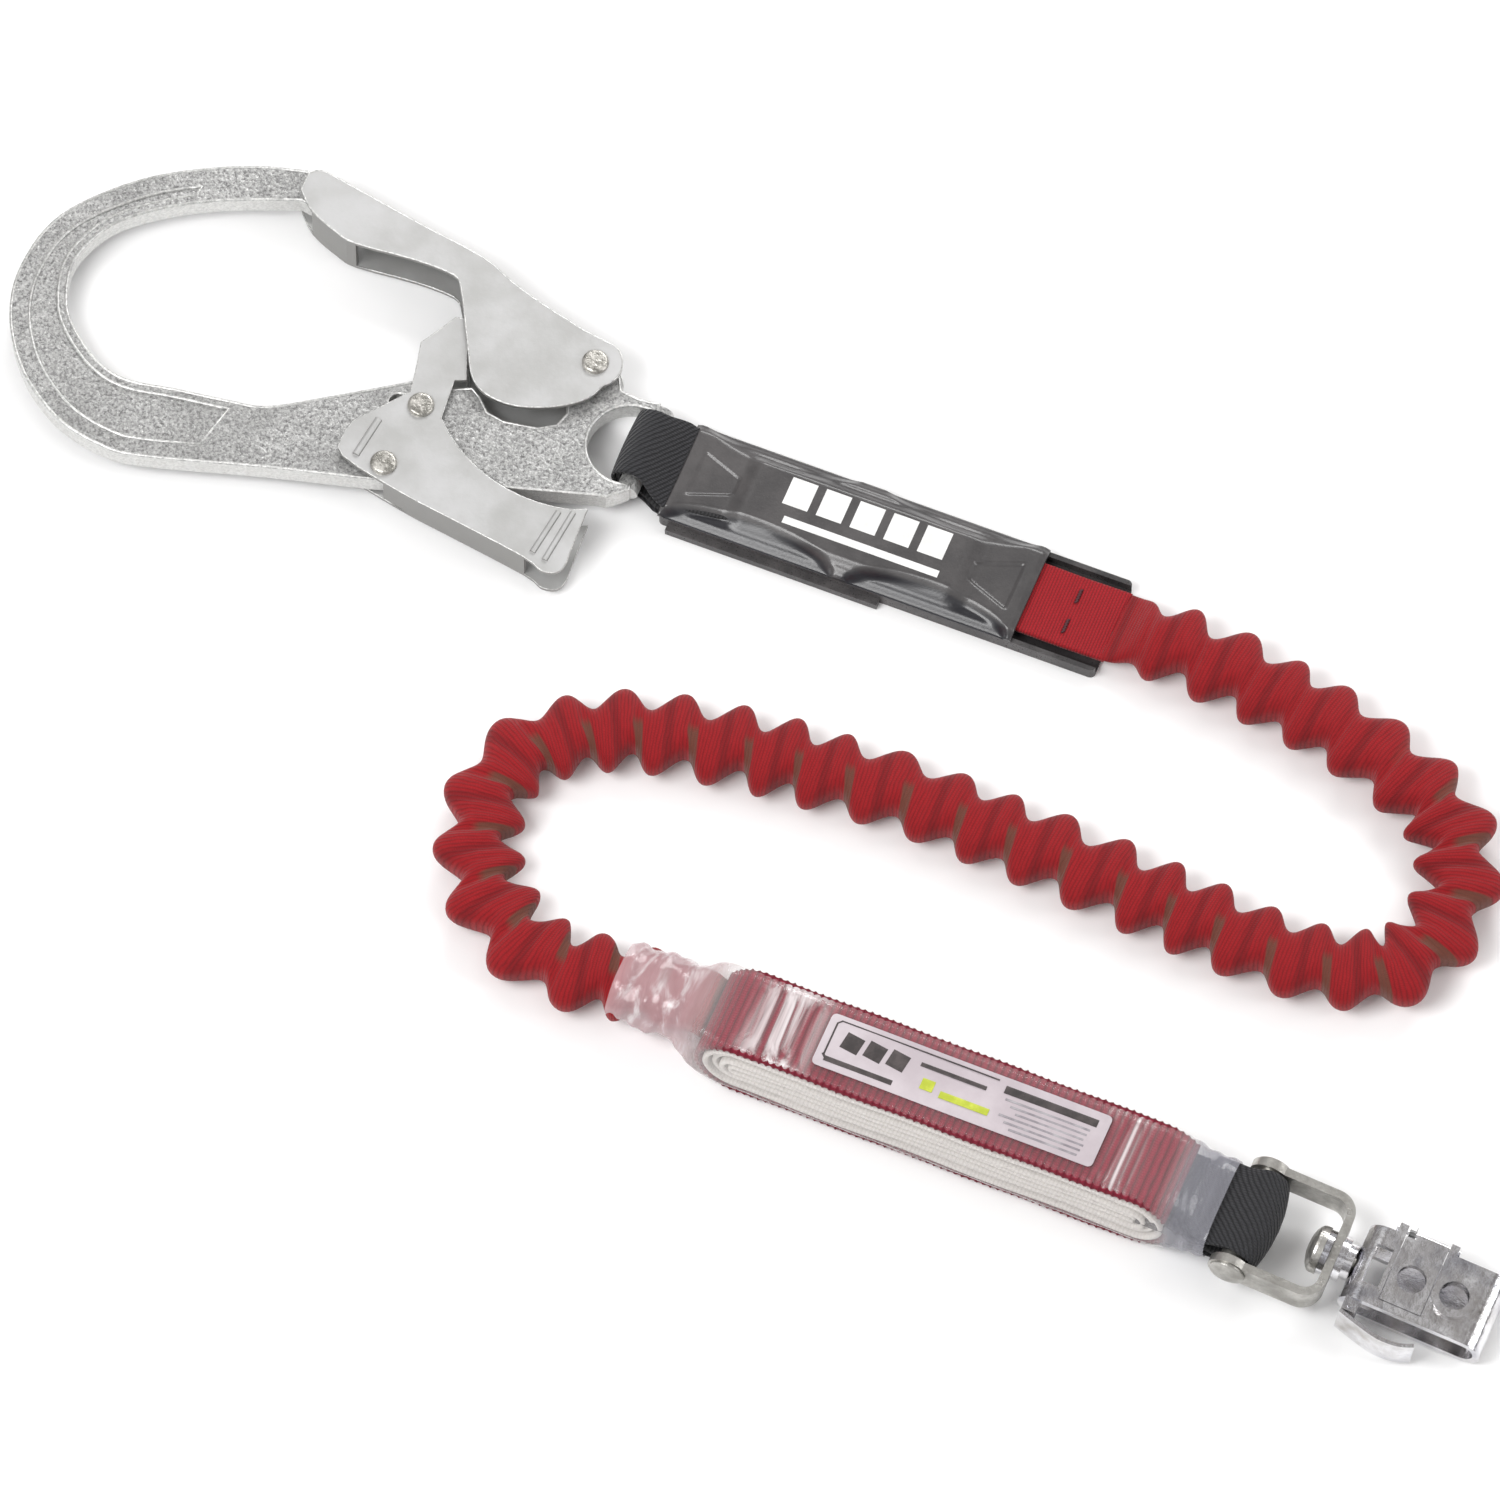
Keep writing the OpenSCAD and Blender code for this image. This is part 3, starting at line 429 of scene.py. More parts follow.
def slab(name, xs, ys, top, bottom, at, heading):
    """A flat band, closed all round: top and bottom heights are rows by columns."""
    grid_x, grid_y = np.meshgrid(xs, ys, indexing="ij")
    upper = np.stack([grid_x, grid_y, top], -1)
    lower = np.stack([grid_x, grid_y, bottom], -1)[:, ::-1]
    section = np.concatenate([upper, lower], 1)
    uv = np.zeros((section.shape[0], section.shape[1] + 1, 2))
    uv[:, :-1, 0] = section[:, :, 0] / 1000
    uv[:, :-1, 1] = section[:, :, 1] / 1000
    uv[:, -1] = uv[:, 0]
    return skin(name, lay_out(section, at, heading), uv, wrap_columns=True, close_ends=True)


sag = 0.35 * np.sin(strap_xs / 9)[:, None] * ramp_up(strap_xs, 145, 165)[:, None]
strap_rise = STRAP_Z + strap_top[None, :] + sag
strap_drop = STRAP_Z - strap_top[None, :] + sag
strap_end = slab("strap_end_cloth", strap_xs, strap_ys, strap_rise, strap_drop, COVER_AT,
    COVER_HEADING)

red_finish, tree, shader = new_material("red_webbing", Roughness=0.8)
shader.inputs["Sheen Weight"].default_value = 0.15
shader.inputs["Specular IOR Level"].default_value = 0.25
along, across = cloth_uv(tree)
ribs = use_group(tree, cloth_ribs, Along=along, Across=across, Rib=0.0011, Thread=0.0011,
    Unevenness=0.3)
red = mix_color(tree, ribs.outputs["Shade"], (0.13, 0.003, 0.006, 1), (0.36, 0.008, 0.014, 1))
tree.links.new(red, shader.inputs["Base Color"])
bump(tree, shader, ribs.outputs["Height"], 0.0004, 0.8)
strap_end.data.materials.append(red_finish)
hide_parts("strap_end")
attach(strap_end, "lanyard")


def join_boxes(name, boxes, at, heading):
    """One mesh of small bars; each is (x, y, length, width, z0, z1, turn in degrees)."""
    verts = []
    faces = []
    for x, y, length, width, z0, z1, turned in boxes:
        base = len(verts)
        c, s = math.cos(math.radians(turned)), math.sin(math.radians(turned))
        inset = min(length, width) * 0.18
        for z, shrink in ((z0, 0), (z1 - 0.3 * (z1 - z0), 0), (z1, inset)):
            for sx, sy in ((-1, -1), (1, -1), (1, 1), (-1, 1)):
                dx = sx * (length / 2 - shrink)
                dy = sy * (width / 2 - shrink)
                verts.append((x + dx * c - dy * s, y + dx * s + dy * c, z))
        faces.append([base + k for k in (3, 2, 1, 0)])
        for low in (0, 4):
            for k in range(4):
                n = (k + 1) % 4
                faces.append([base + low + k, base + low + n, base + low + 4 + n,
                    base + low + 4 + k])
        faces.append([base + 8 + k for k in range(4)])
    mesh = bpy.data.meshes.new(name)
    mesh.from_pydata(lay_out(verts, at, heading).tolist(), [], faces)
    mesh.update()
    made = bpy.data.objects.new(name, mesh)
    bpy.context.scene.collection.objects.link(made)
    return made


stitch_bars = [
    (cover_x, y + k * 1.1, 1.6, 0.8, STRAP_Z + 1.0, STRAP_Z + 1.6, 60)
    for cover_x, y in ((160, 6), (160, -6.5))
    for k in (-2, -1, 0, 1, 2)
]
strap_stitches = join_boxes("strap_stitches", stitch_bars, COVER_AT, COVER_HEADING)
thread_finish, tree, shader = new_material(
    "dark_thread", Base_Color=(0.05, 0.008, 0.012, 1), Roughness=0.7
)
lint = add(tree, "ShaderNodeTexNoise", {"Scale": 900.0})
tree.links.new(
    mix_color(tree, lint.outputs[0], (0.03, 0.006, 0.01, 1), (0.09, 0.015, 0.02, 1)),
    shader.inputs["Base Color"],
)
strap_stitches.data.materials.append(thread_finish)
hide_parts("strap_end_stitches")
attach(strap_stitches, "lanyard")

# ---- Loop webbing and wear sleeves: black, at the hook's eye and at the yoke pin ----
# A webbing loop passes round the bar or the pin, and a thicker twill sleeve is
# pulled over it, so that the metal rubs on the sleeve and not on the strap.
twill, g_in, g_out = new_group(
    "twill_weave",
    {"Along": 0.0, "Across": 0.0, "Pitch": 0.0016, "Slope": 1.0},
    {"Height": "Float", "Shade": "Float"},
)
slant = calc(twill, "MULTIPLY_ADD", g_in.outputs["Across"], g_in.outputs["Slope"],
    g_in.outputs["Along"])
strand = calc(twill, "DIVIDE", slant, g_in.outputs["Pitch"])
spot = add(twill, "ShaderNodeCombineXYZ", {0: calc(twill, "MULTIPLY", strand, 0.35), 1: calc(
    twill, "MULTIPLY", g_in.outputs["Across"], 300.0)})
lumps = add(twill, "ShaderNodeTexNoise",
    {"Vector": spot.outputs[0], "Scale": 1.5, "Detail": 2.0}).outputs[0]
strand = calc(twill, "MULTIPLY_ADD", lumps, 0.5, strand)
cord_wave = calc(twill, "ABSOLUTE", calc(twill, "SINE", calc(twill, "MULTIPLY", strand, math.pi)))
bead = calc(twill, "ABSOLUTE",
    calc(twill, "SINE", calc(twill, "MULTIPLY", g_in.outputs["Across"], math.pi / 0.0009)))
twill_height = calc(twill, "MULTIPLY", cord_wave, calc(twill, "MULTIPLY_ADD", bead, 0.3, 0.7))
twill.links.new(twill_height, g_out.inputs["Height"])
twill.links.new(calc(twill, "MULTIPLY_ADD", twill_height, 0.8, calc(
    twill, "MULTIPLY", lumps, 0.3)), g_out.inputs["Shade"])

twill_finish, tree, shader = new_material("black_twill", Roughness=0.8)
shader.inputs["Sheen Weight"].default_value = 0.12
shader.inputs["Specular IOR Level"].default_value = 0.3
along, across = cloth_uv(tree)
weave = use_group(tree, twill, Along=along, Across=across, Pitch=0.0019, Slope=0.75)
tree.links.new(
    mix_color(tree, weave.outputs["Shade"], (0.004, 0.004, 0.005, 1), (0.034, 0.034, 0.038, 1)),
    shader.inputs["Base Color"],
)
bump(tree, shader, weave.outputs["Height"], 0.0006, 0.9)

webbing_finish, tree, shader = new_material("black_webbing", Roughness=0.75)
along, across = cloth_uv(tree)
ribs = use_group(tree, cloth_ribs, Along=along, Across=across, Rib=0.0013, Thread=0.0013)
tree.links.new(
    mix_color(tree, ribs.outputs["Shade"], (0.006, 0.006, 0.007, 1), (0.028, 0.028, 0.03, 1)),
    shader.inputs["Base Color"],
)
bump(tree, shader, ribs.outputs["Height"], 0.0004, 0.7)


def loop_line(radius, center_z, end_z, half_gap, bend_x, end_x, steps=28):
    """A loop's path seen from its side: a leg, a bend round the pin, and a leg."""
    def touch(side):
        # Angle at which the straight leg leaves the round
        away = math.hypot(bend_x, end_z + side * half_gap - center_z)
        return math.atan2(end_z + side * half_gap - center_z,
            bend_x) + side * math.acos(radius / away)
    start, stop = touch(1), 2 * math.pi + touch(-1)
    turn = np.linspace(start, stop, steps)
    bend = np.stack([radius * np.cos(turn), center_z + radius * np.sin(turn)], -1)
    upper = [(end_x, end_z + half_gap), (bend_x, end_z + half_gap)]
    lower = [(bend_x, end_z - half_gap), (end_x, end_z - half_gap)]
    between_top = [np.array(upper[1]) * (1 - t) + bend[0] * t for t in (0.25, 0.5, 0.75)]
    between_low = [bend[-1] * (1 - t) + np.array(lower[0]) * t for t in (0.25, 0.5, 0.75)]
    return np.vstack([upper, between_top, bend, between_low, lower])


def band(name, line, thickness, half_width, at, heading, mirror=1, puff=0.0, barrel=0.0):
    """A closed band of cloth that follows a line in the x-z plane; its width may
    change along x, puff makes its middle stand proud, and barrel rounds both ends."""
    ahead = np.gradient(line, axis=0)
    ahead /= np.linalg.norm(ahead, axis=1)[:, None]
    out = np.stack([ahead[:, 1], -ahead[:, 0]], -1)
    run = np.concatenate([[0], np.cumsum(np.linalg.norm(np.diff(line, axis=0), axis=1))])
    spread = np.array([-1, -0.985, -0.93, -0.8, -0.6, -0.35, 0, 0.35, 0.6, 0.8, 0.93, 0.985, 1])
    edge = np.where(np.abs(spread) > 0.99, 0.5, np.where(np.abs(spread) > 0.98, 0.85, 1))
    section = []
    uv = []
    for (x, z), normal, s in zip(line, out, run):
        width = half_width(x)
        lift = puff * (1 - spread**2)
        outer = [(x + normal[0] * (thickness * 0.5 * e + l), y * width,
            z + normal[1] * (thickness * 0.5 * e + l))
                 for y, e, l in zip(spread, edge, lift)]
        inner = [(x - normal[0] * thickness * 0.5 * e, y * width,
            z - normal[1] * thickness * 0.5 * e)
                 for y, e in zip(spread[::-1], edge[::-1])]
        push = barrel * np.clip(x / 8, -1, 1)
        bulge = push * (1 - np.concatenate([spread, spread[::-1]]) ** 2)
        section.append([(px + shift, y, pz) for (px, y, pz), shift in zip(outer + inner, bulge)])
        flat = [(s / 1000, y * width / 1000) for y in (*spread, *spread[::-1])]
        uv.append(flat + flat[:1])
    section = np.array(section)
    section[:, :, 0] *= mirror
    if mirror < 0:
        section = section[:, ::-1]
    return skin(name, lay_out(section, at, heading), np.array(uv), wrap_columns=True,
        close_ends=True)


def eye_width(x):
    """Half width of the hook-end loop: narrow in the eye, wide at the cover."""
    return 13.3 + 3.4 * ramp_up(x, 2, 12)


HOOK_BAR_Z = 10.8
eye_loop = band(
    "eye_loop_webbing", loop_line(5.2, HOOK_BAR_Z, STRAP_Z, 2.0, 12.4, 60), 1.6,
    lambda x: eye_width(x) - 0.9 - 6.5 * ramp_up(x, 13, 24), COVER_AT, COVER_HEADING,
)
eye_loop.data.materials.append(webbing_finish)
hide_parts("hook_loop_webbing")
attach(eye_loop, "lanyard")
eye_sleeve = band(
    "eye_wear_sleeve", loop_line(6.9, HOOK_BAR_Z, STRAP_Z, 3.6, 13, 14), 1.1,
    eye_width, COVER_AT, COVER_HEADING, puff=0.5,
)
eye_sleeve.data.materials.append(twill_finish)
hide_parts("hook_loop_sleeve")
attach(eye_sleeve, "lanyard")

PIN_X = 195.5
PACK_MID = 16.1
pin_cos, pin_sin = math.cos(math.radians(PACK_HEADING)), math.sin(math.radians(PACK_HEADING))
PIN_AT = (PACK_AT[0] + PIN_X * pin_cos, PACK_AT[1] + PIN_X * pin_sin)
pin_loop = band(
    "pin_loop_webbing", loop_line(5.7, PACK_MID, PACK_MID, 1.5, 14, 36), 2.1,
    lambda x: 15.3 + 0 * x, PIN_AT, PACK_HEADING, mirror=-1,
)
pin_loop.data.materials.append(webbing_finish)
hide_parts("yoke_loop_webbing")
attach(pin_loop, "lanyard")
pin_sleeve = band(
    "pin_wear_sleeve", loop_line(7.4, PACK_MID, PACK_MID, 3.2, 14, 18), 1.1,
    lambda x: 16.8 - 1.3 * np.exp(-((x - 5) / 5) ** 2), PIN_AT, PACK_HEADING, mirror=-1, puff=0.5,
    barrel=2.4,
)
pin_sleeve.data.materials.append(twill_finish)
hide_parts("yoke_loop_sleeve")
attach(pin_sleeve, "lanyard")

# ---- Stitch cover: two moulded halves that shield the sewn joint ----
# Glossy dark PVC. The front half has a raised middle, a fan-shaped recess at each
# end and long scoops along its sides; plain bars stand for the printed mark.
COVER_X0, COVER_X1 = 12.4, 144.4
COVER_HALF_W = 19
COVER_LIP = 0.1
COVER_TOP = 10.5
cover_xs = np.concatenate([[COVER_X0, COVER_X0 + 0.4],
    np.linspace(COVER_X0 + 1, COVER_X1 - 1, 170), [COVER_X1 - 0.4, COVER_X1]])
cover_ys = np.concatenate([
    [-COVER_HALF_W, -COVER_HALF_W + COVER_LIP],
    np.linspace(-COVER_HALF_W + 0.5, COVER_HALF_W - 0.5, 70),
    [COVER_HALF_W - COVER_LIP, COVER_HALF_W],
])
cx, cy = np.meshgrid(cover_xs, cover_ys, indexing="ij")


def scoop(x, y, x0, x1, edge, depth):
    """A long hollow along one side, deepest at the side, with its ends faired."""
    middle_x = (x0 + x1) / 2
    reach = np.sqrt(np.clip(1 - ((x - middle_x) / ((x1 - x0) / 2)) ** 2, 0, 1))
    inward = (y * np.sign(edge) - (abs(edge) - 9.5 * reach)) / 3
    return depth * ramp_up(inward, -0.4, 1) * ramp_up(reach, 0, 0.35)


side_fall = 1.7 * ramp_up(np.abs(cy), 15.4, 19.2)
island = ramp_up(cx, 33,
    41) * (1 - ramp_up(cx, 117, 126)) * (1 - ramp_up(np.abs(cy + 0.5), 11.5, 15.5))
lower_scoop = scoop(cx, cy, 13, 78, -19.5, 2.4) + scoop(cx, cy, 82, 143, -19.5, 2.4)
upper_scoop = scoop(cx, cy, 15, 75, 22, 1.3) + scoop(cx, cy, 82, 142, 22, 1.3)


def fan(x, y, x0, x1, w0, w1):
    """1 inside a fan-shaped recess with soft walls."""
    t = np.clip((x - x0) / (x1 - x0), 0, 1)
    half = (w0 * (1 - t) + w1 * t) / 2
    return ramp_up(half - np.abs(y), 0, 0.8) * ramp_up(x - x0, 0, 0.8) * ramp_up(x1 - x, 0, 0.8)


fans = fan(cx, cy, 19, 35, 19, 7) + fan(cx, cy, 122, 139, 7, 20)
end_roll = 0.9 * (1 - ramp_up(np.minimum(cx - COVER_X0, COVER_X1 - cx), 0, 2.2))
cover_height = COVER_TOP - 1.2 + 1.9 * island - side_fall - lower_scoop - upper_scoop - 0.75 * fans - end_roll
cover_under = np.full_like(cover_height, STRAP_Z + 0.15)
front_cover = slab(
    "front_cover", cover_xs, cover_ys, cover_height, cover_under, COVER_AT, COVER_HEADING
)

# Scuffs: a fine, uneven wear that every hard surface shares
scuffs, g_in, g_out = new_group(
    "scuffs",
    {"Grain": 900.0, "Patch": 40.0},
    {"Wear": "Float", "Fine": "Float"},
)
part_place = add(scuffs, "ShaderNodeTexCoord").outputs["Object"]
patches = add(scuffs, "ShaderNodeTexNoise", {
    "Vector": part_place, "Scale": g_in.outputs["Patch"], "Detail": 6.0,
        "Roughness": 0.65}).outputs[0]
fine = add(scuffs, "ShaderNodeTexNoise", {
    "Vector": part_place, "Scale": g_in.outputs["Grain"], "Detail": 2.0}).outputs[0]
scuffs.links.new(step_up(scuffs, patches, 0.35, 0.7), g_out.inputs["Wear"])
scuffs.links.new(fine, g_out.inputs["Fine"])

cover_finish, tree, shader = new_material("cover_plastic", Roughness=0.3)
shader.inputs["Coat Weight"].default_value = 0.4
shader.inputs["Coat Roughness"].default_value = 0.15
shader.inputs["Specular IOR Level"].default_value = 0.5
along, across = cloth_uv(tree)
wear = use_group(tree, scuffs, Grain=1400.0, Patch=55.0)


def oval(tree, x, y, x0, y0, a, b):
    """A soft-edged oval mask on the cloth map, sizes in metres."""
    dx = calc(tree, "DIVIDE", calc(tree, "SUBTRACT", x, x0), a)
    dy = calc(tree, "DIVIDE", calc(tree, "SUBTRACT", y, y0), b)
    r = calc(tree, "ADD", calc(tree, "MULTIPLY", dx, dx), calc(tree, "MULTIPLY", dy, dy))
    return calc(tree, "SUBTRACT", 1.0, step_up(tree, r, 0.75, 1.05))


# Painted reflection: the long scoops are painted near black, standing for the dark surroundings they mirror
dark = calc(tree, "MAXIMUM", oval(tree, along, across, 0.045, -0.0195, 0.034, 0.0085),
            oval(tree, along, across, 0.112, -0.0195, 0.034, 0.0085))
pale = calc(tree, "MULTIPLY_ADD", wear.outputs["Wear"], 0.6, 0.2)
gray = mix_color(tree, pale, (0.034, 0.032, 0.033, 1), (0.085, 0.079, 0.079, 1))
gray = mix_color(tree, dark, gray, (0.006, 0.006, 0.010, 1))
tree.links.new(gray, shader.inputs["Base Color"])
tree.links.new(calc(tree, "MULTIPLY_ADD", wear.outputs["Fine"], 0.25, 0.22),
    shader.inputs["Roughness"])
bump(tree, shader, wear.outputs["Fine"], 0.0002, 0.25)
front_cover.data.materials.append(cover_finish)
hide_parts("stitch_cover_front")
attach(front_cover, "lanyard")

back_finish, tree, shader = new_material("back_cover_plastic", Roughness=0.3)
wear = use_group(tree, scuffs, Grain=1400.0, Patch=70.0)
tree.links.new(
    mix_color(tree, wear.outputs["Wear"], (0.03, 0.028, 0.029, 1), (0.075, 0.07, 0.07, 1)),
    shader.inputs["Base Color"],
)
tree.links.new(calc(tree, "MULTIPLY_ADD", wear.outputs["Fine"], 0.2, 0.2),
    shader.inputs["Roughness"])
bump(tree, shader, wear.outputs["Fine"], 0.0002, 0.3)


def finish_node(node, material):
    """Gives a CAD node a better material, slot by slot."""
    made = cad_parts[node]
    for held in made.material_slots:
        held.material = material
    if not made.material_slots:
        made.data.materials.append(material)


finish_node("stitch_cover_back", back_finish)

PRINT_Z = COVER_TOP + 0.62
print_bars = [(56.5 + 12.6 * k, 4.6, 9.4, 11, PRINT_Z, PRINT_Z + 0.16, 0) for k in range(5)]
print_bars += [(83.5, -6.6, 58, 2.8, PRINT_Z, PRINT_Z + 0.16, 0)]
cover_print = join_boxes("cover_print_bars", print_bars, COVER_AT, COVER_HEADING)
print_finish, tree, shader = new_material("white_print", Roughness=0.5)
wear = use_group(tree, scuffs, Grain=2500.0, Patch=200.0)
tree.links.new(
    mix_color(tree, wear.outputs["Wear"], (0.68, 0.68, 0.67, 1), (0.82, 0.82, 0.81, 1)),
    shader.inputs["Base Color"],
)
cover_print.data.materials.append(print_finish)
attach(cover_print, "lanyard")

# ---- Hook: one forged and hot-galvanised plate ----
# The zinc gives it a bright, sparkling grain, with darker cloudy patches.
zinc, g_in, g_out = new_group(
    "zinc_grain", {"Grain": 1500.0}, {"Sparkle": "Float", "Cloud": "Float", "Height": "Float"}
)
part_place = add(zinc, "ShaderNodeTexCoord").outputs["Object"]
cells = add(zinc, "ShaderNodeTexVoronoi", {"Vector": part_place, "Scale": g_in.outputs["Grain"]})
speck = add(zinc, "ShaderNodeSeparateXYZ", {0: cells.outputs["Color"]}).outputs[0]
mottle = add(zinc, "ShaderNodeTexNoise", {
    "Vector": part_place, "Scale": calc(zinc, "MULTIPLY", g_in.outputs["Grain"], 0.45),
        "Detail": 3.0}).outputs[0]
cloud = add(zinc, "ShaderNodeTexNoise",
    {"Vector": part_place, "Scale": 45.0, "Detail": 5.0}).outputs[0]
zinc.links.new(calc(zinc, "MULTIPLY_ADD", speck, 0.55, calc(
    zinc, "MULTIPLY", step_up(zinc, mottle, 0.3, 0.7), 0.45)), g_out.inputs["Sparkle"])
zinc.links.new(cloud, g_out.inputs["Cloud"])
zinc.links.new(calc(zinc, "MULTIPLY_ADD", speck, 0.5, mottle), g_out.inputs["Height"])

forged_finish, tree, shader = new_material("forged_zinc", Metallic=0.65, Roughness=0.42)
grain = use_group(tree, zinc, Grain=1700.0)
gray = mix_color(tree, grain.outputs["Sparkle"], (0.15, 0.148, 0.148, 1), (0.70, 0.70, 0.69, 1))
gray = mix_color(tree,
    calc(tree, "MULTIPLY", step_up(tree, grain.outputs["Cloud"], 0.4, 0.7), 0.3),
                 gray, (0.2, 0.2, 0.195, 1))
# Painted light: the sides of the plate are painted brighter than its faces
facing = add(tree, "ShaderNodeSeparateXYZ",
    {0: add(tree, "ShaderNodeNewGeometry").outputs["True Normal"]}).outputs[2]
wall_shading = calc(tree, "SUBTRACT", 1.0, step_up(tree, calc(tree, "ABSOLUTE", facing), 0.3, 0.8))
gray = mix_color(tree, calc(tree, "MULTIPLY", wall_shading, 0.6), gray, (0.86, 0.86, 0.84, 1))
tree.links.new(gray, shader.inputs["Base Color"])
tree.links.new(calc(tree, "MULTIPLY_ADD", grain.outputs["Sparkle"], -0.2, 0.5),
    shader.inputs["Roughness"])
bump(tree, shader, grain.outputs["Height"], 0.0004, 0.6)
finish_node("hook_body", forged_finish)


def edge_bead(name, node, radius, material, body):
    """A fine bead along a CAD node's upper edges: a rounded rim that catches the light, given a finish with a
    painted highlight.
    """
    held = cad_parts[node]
    place = [held.matrix_world @ vertex.co for vertex in held.data.vertices]
    key = [tuple(round(c * 1e6) for c in p) for p in place]
    spot = dict(zip(key, place))
    sides = {}
    for face in held.data.polygons:
        normal = (held.matrix_world.to_3x3() @ face.normal).normalized()
        ring = [key[v] for v in face.vertices]
        for start, stop in zip(ring, ring[1:] + ring[:1]):
            sides.setdefault(frozenset((start, stop)), []).append(normal)
    rim = {}
    outward = {}
    for edge, normals in sides.items():
        if len(edge) < 2 or len(normals) != 2:
            continue
        flat, upright = sorted(normals, key=lambda n: -n.z)
        if flat.z > 0.95 and abs(upright.z) < 0.2:
            start, stop = sorted(edge)
            rim.setdefault(start, []).append(stop)
            rim.setdefault(stop, []).append(start)
            for end in edge:
                outward[end] = outward.get(end, Vector((0, 0, 0))) + upright
    beads = []
    left = sorted(rim, key=lambda k: (len(rim[k]) != 1, k))
    seen = set()
    for first in left:
        if first in seen:
            continue
        loop = [first]
        seen.add(first)
        while True:
            onward = [k for k in rim[loop[-1]] if k not in seen]
            if not onward:
                break
            loop.append(onward[0])
            seen.add(onward[0])
        line = np.array([spot[k] for k in loop])
        size = np.linalg.norm(np.diff(line, axis=0), axis=1).sum()
        if size < 0.03:
            continue
        closed = loop[0] in rim[loop[-1]]
        out = np.array([outward[k].normalized() for k in loop])
        turn = np.linspace(0, 2 * math.pi, 10, endpoint=False)
        rise = np.array([0, 0, 1.0])
        centre = line - 0.5 * radius * (out + rise)
        rows = centre[:, None] + radius * (
            np.cos(turn)[None, :, None] * out[:, None] + np.sin(turn)[None, :, None] * rise
        )
        uv = np.zeros((len(loop) + 1, 11, 2))
        bead = skin(
            f"{name}_{len(beads)}", rows, uv, wrap_rows=closed, wrap_columns=True,
                close_ends=not closed
        )
        bead.data.materials.append(material)
        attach(bead, body)
        beads.append(bead)
    return beads


# Painted highlight: the rim beads are painted brighter than the plate, as light caught on rounded edges
rim_highlight_finish, tree, shader = new_material("rim_painted_highlight", Metallic=0.7, Roughness=0.38)
grain = use_group(tree, zinc, Grain=1500.0)
tree.links.new(
    mix_color(tree, grain.outputs["Sparkle"], (0.36, 0.36, 0.355, 1), (0.78, 0.78, 0.76, 1)),
    shader.inputs["Base Color"],
)
edge_bead("hook_rim", "hook_body", 0.0006, rim_highlight_finish, "hook")

# ---- Gate and lock lever: pressed and folded sheet, satin plated ----
# Each is one sheet folded into a channel that straddles the hook's plate. The
# plating is pale and even, with painted shade on the walls of the folds.
sheet_finish, tree, shader = new_material("plated_sheet", Metallic=0.55, Roughness=0.42)
wear = use_group(tree, scuffs, Grain=700.0, Patch=38.0)
pale = mix_color(tree, wear.outputs["Wear"], (0.48, 0.48, 0.47, 1), (0.55, 0.55, 0.55, 1))
# Painted shade: the walls of the folds are painted darker than the flat faces
facing = add(tree, "ShaderNodeSeparateXYZ",
    {0: add(tree, "ShaderNodeNewGeometry").outputs["Normal"]}).outputs[2]
wall_shading = calc(tree, "SUBTRACT", 1.0, step_up(tree, calc(tree, "ABSOLUTE", facing), 0.35, 0.96))
pale = mix_color(tree, calc(tree, "MULTIPLY", wall_shading, 0.75), pale, (0.2, 0.195, 0.185, 1))
tree.links.new(pale, shader.inputs["Base Color"])
tree.links.new(calc(tree, "MULTIPLY_ADD", wear.outputs["Wear"], 0.12, 0.36),
    shader.inputs["Roughness"])
bump(tree, shader, wear.outputs["Fine"], 0.0002, 0.15)
for node in ("hook_gate", "lock_lever"):
    finish_node(node, sheet_finish)
edge_bead("gate_rim", "hook_gate", 0.0003, rim_highlight_finish, "gate")
edge_bead("lever_rim", "lock_lever", 0.0002, rim_highlight_finish, "lever")

# ---- Rivets, pins and springs ----
# Nickel-plated steel rivets, peened over at both ends, and dark spring wire.
rivet_finish, tree, shader = new_material("nickel_rivet", Metallic=0.9, Roughness=0.35)
wear = use_group(tree, scuffs, Grain=1100.0, Patch=260.0)
tree.links.new(
    mix_color(tree, wear.outputs["Wear"], (0.34, 0.33, 0.30, 1), (0.66, 0.64, 0.60, 1)),
    shader.inputs["Base Color"],
)
tree.links.new(calc(tree, "MULTIPLY_ADD", wear.outputs["Wear"], 0.25, 0.24),
    shader.inputs["Roughness"])
bump(tree, shader, wear.outputs["Fine"], 0.0004, 0.5)
for node in ("gate_pivot_rivet", "lever_pivot_rivet", "lever_guide_rivet"):
    finish_node(node, rivet_finish)

wire_finish, tree, shader = new_material("spring_wire", Metallic=0.9, Roughness=0.4)
wear = use_group(tree, scuffs, Grain=2000.0, Patch=300.0)
tree.links.new(
    mix_color(tree, wear.outputs["Wear"], (0.16, 0.16, 0.16, 1), (0.34, 0.34, 0.34, 1)),
    shader.inputs["Base Color"],
)
for node in ("gate_spring", "lever_spring", "latch_spring", "thumb_lever_spring"):
    finish_node(node, wire_finish)

# ---- Absorber's outer webbing: the crimson strap round the folded pack ----
# Heavy polyester with bold ribs across it, folded back on itself at both ends.
RACE_LEFT, RACE_RIGHT, RACE_R = -1.9, 171.9, 14.2


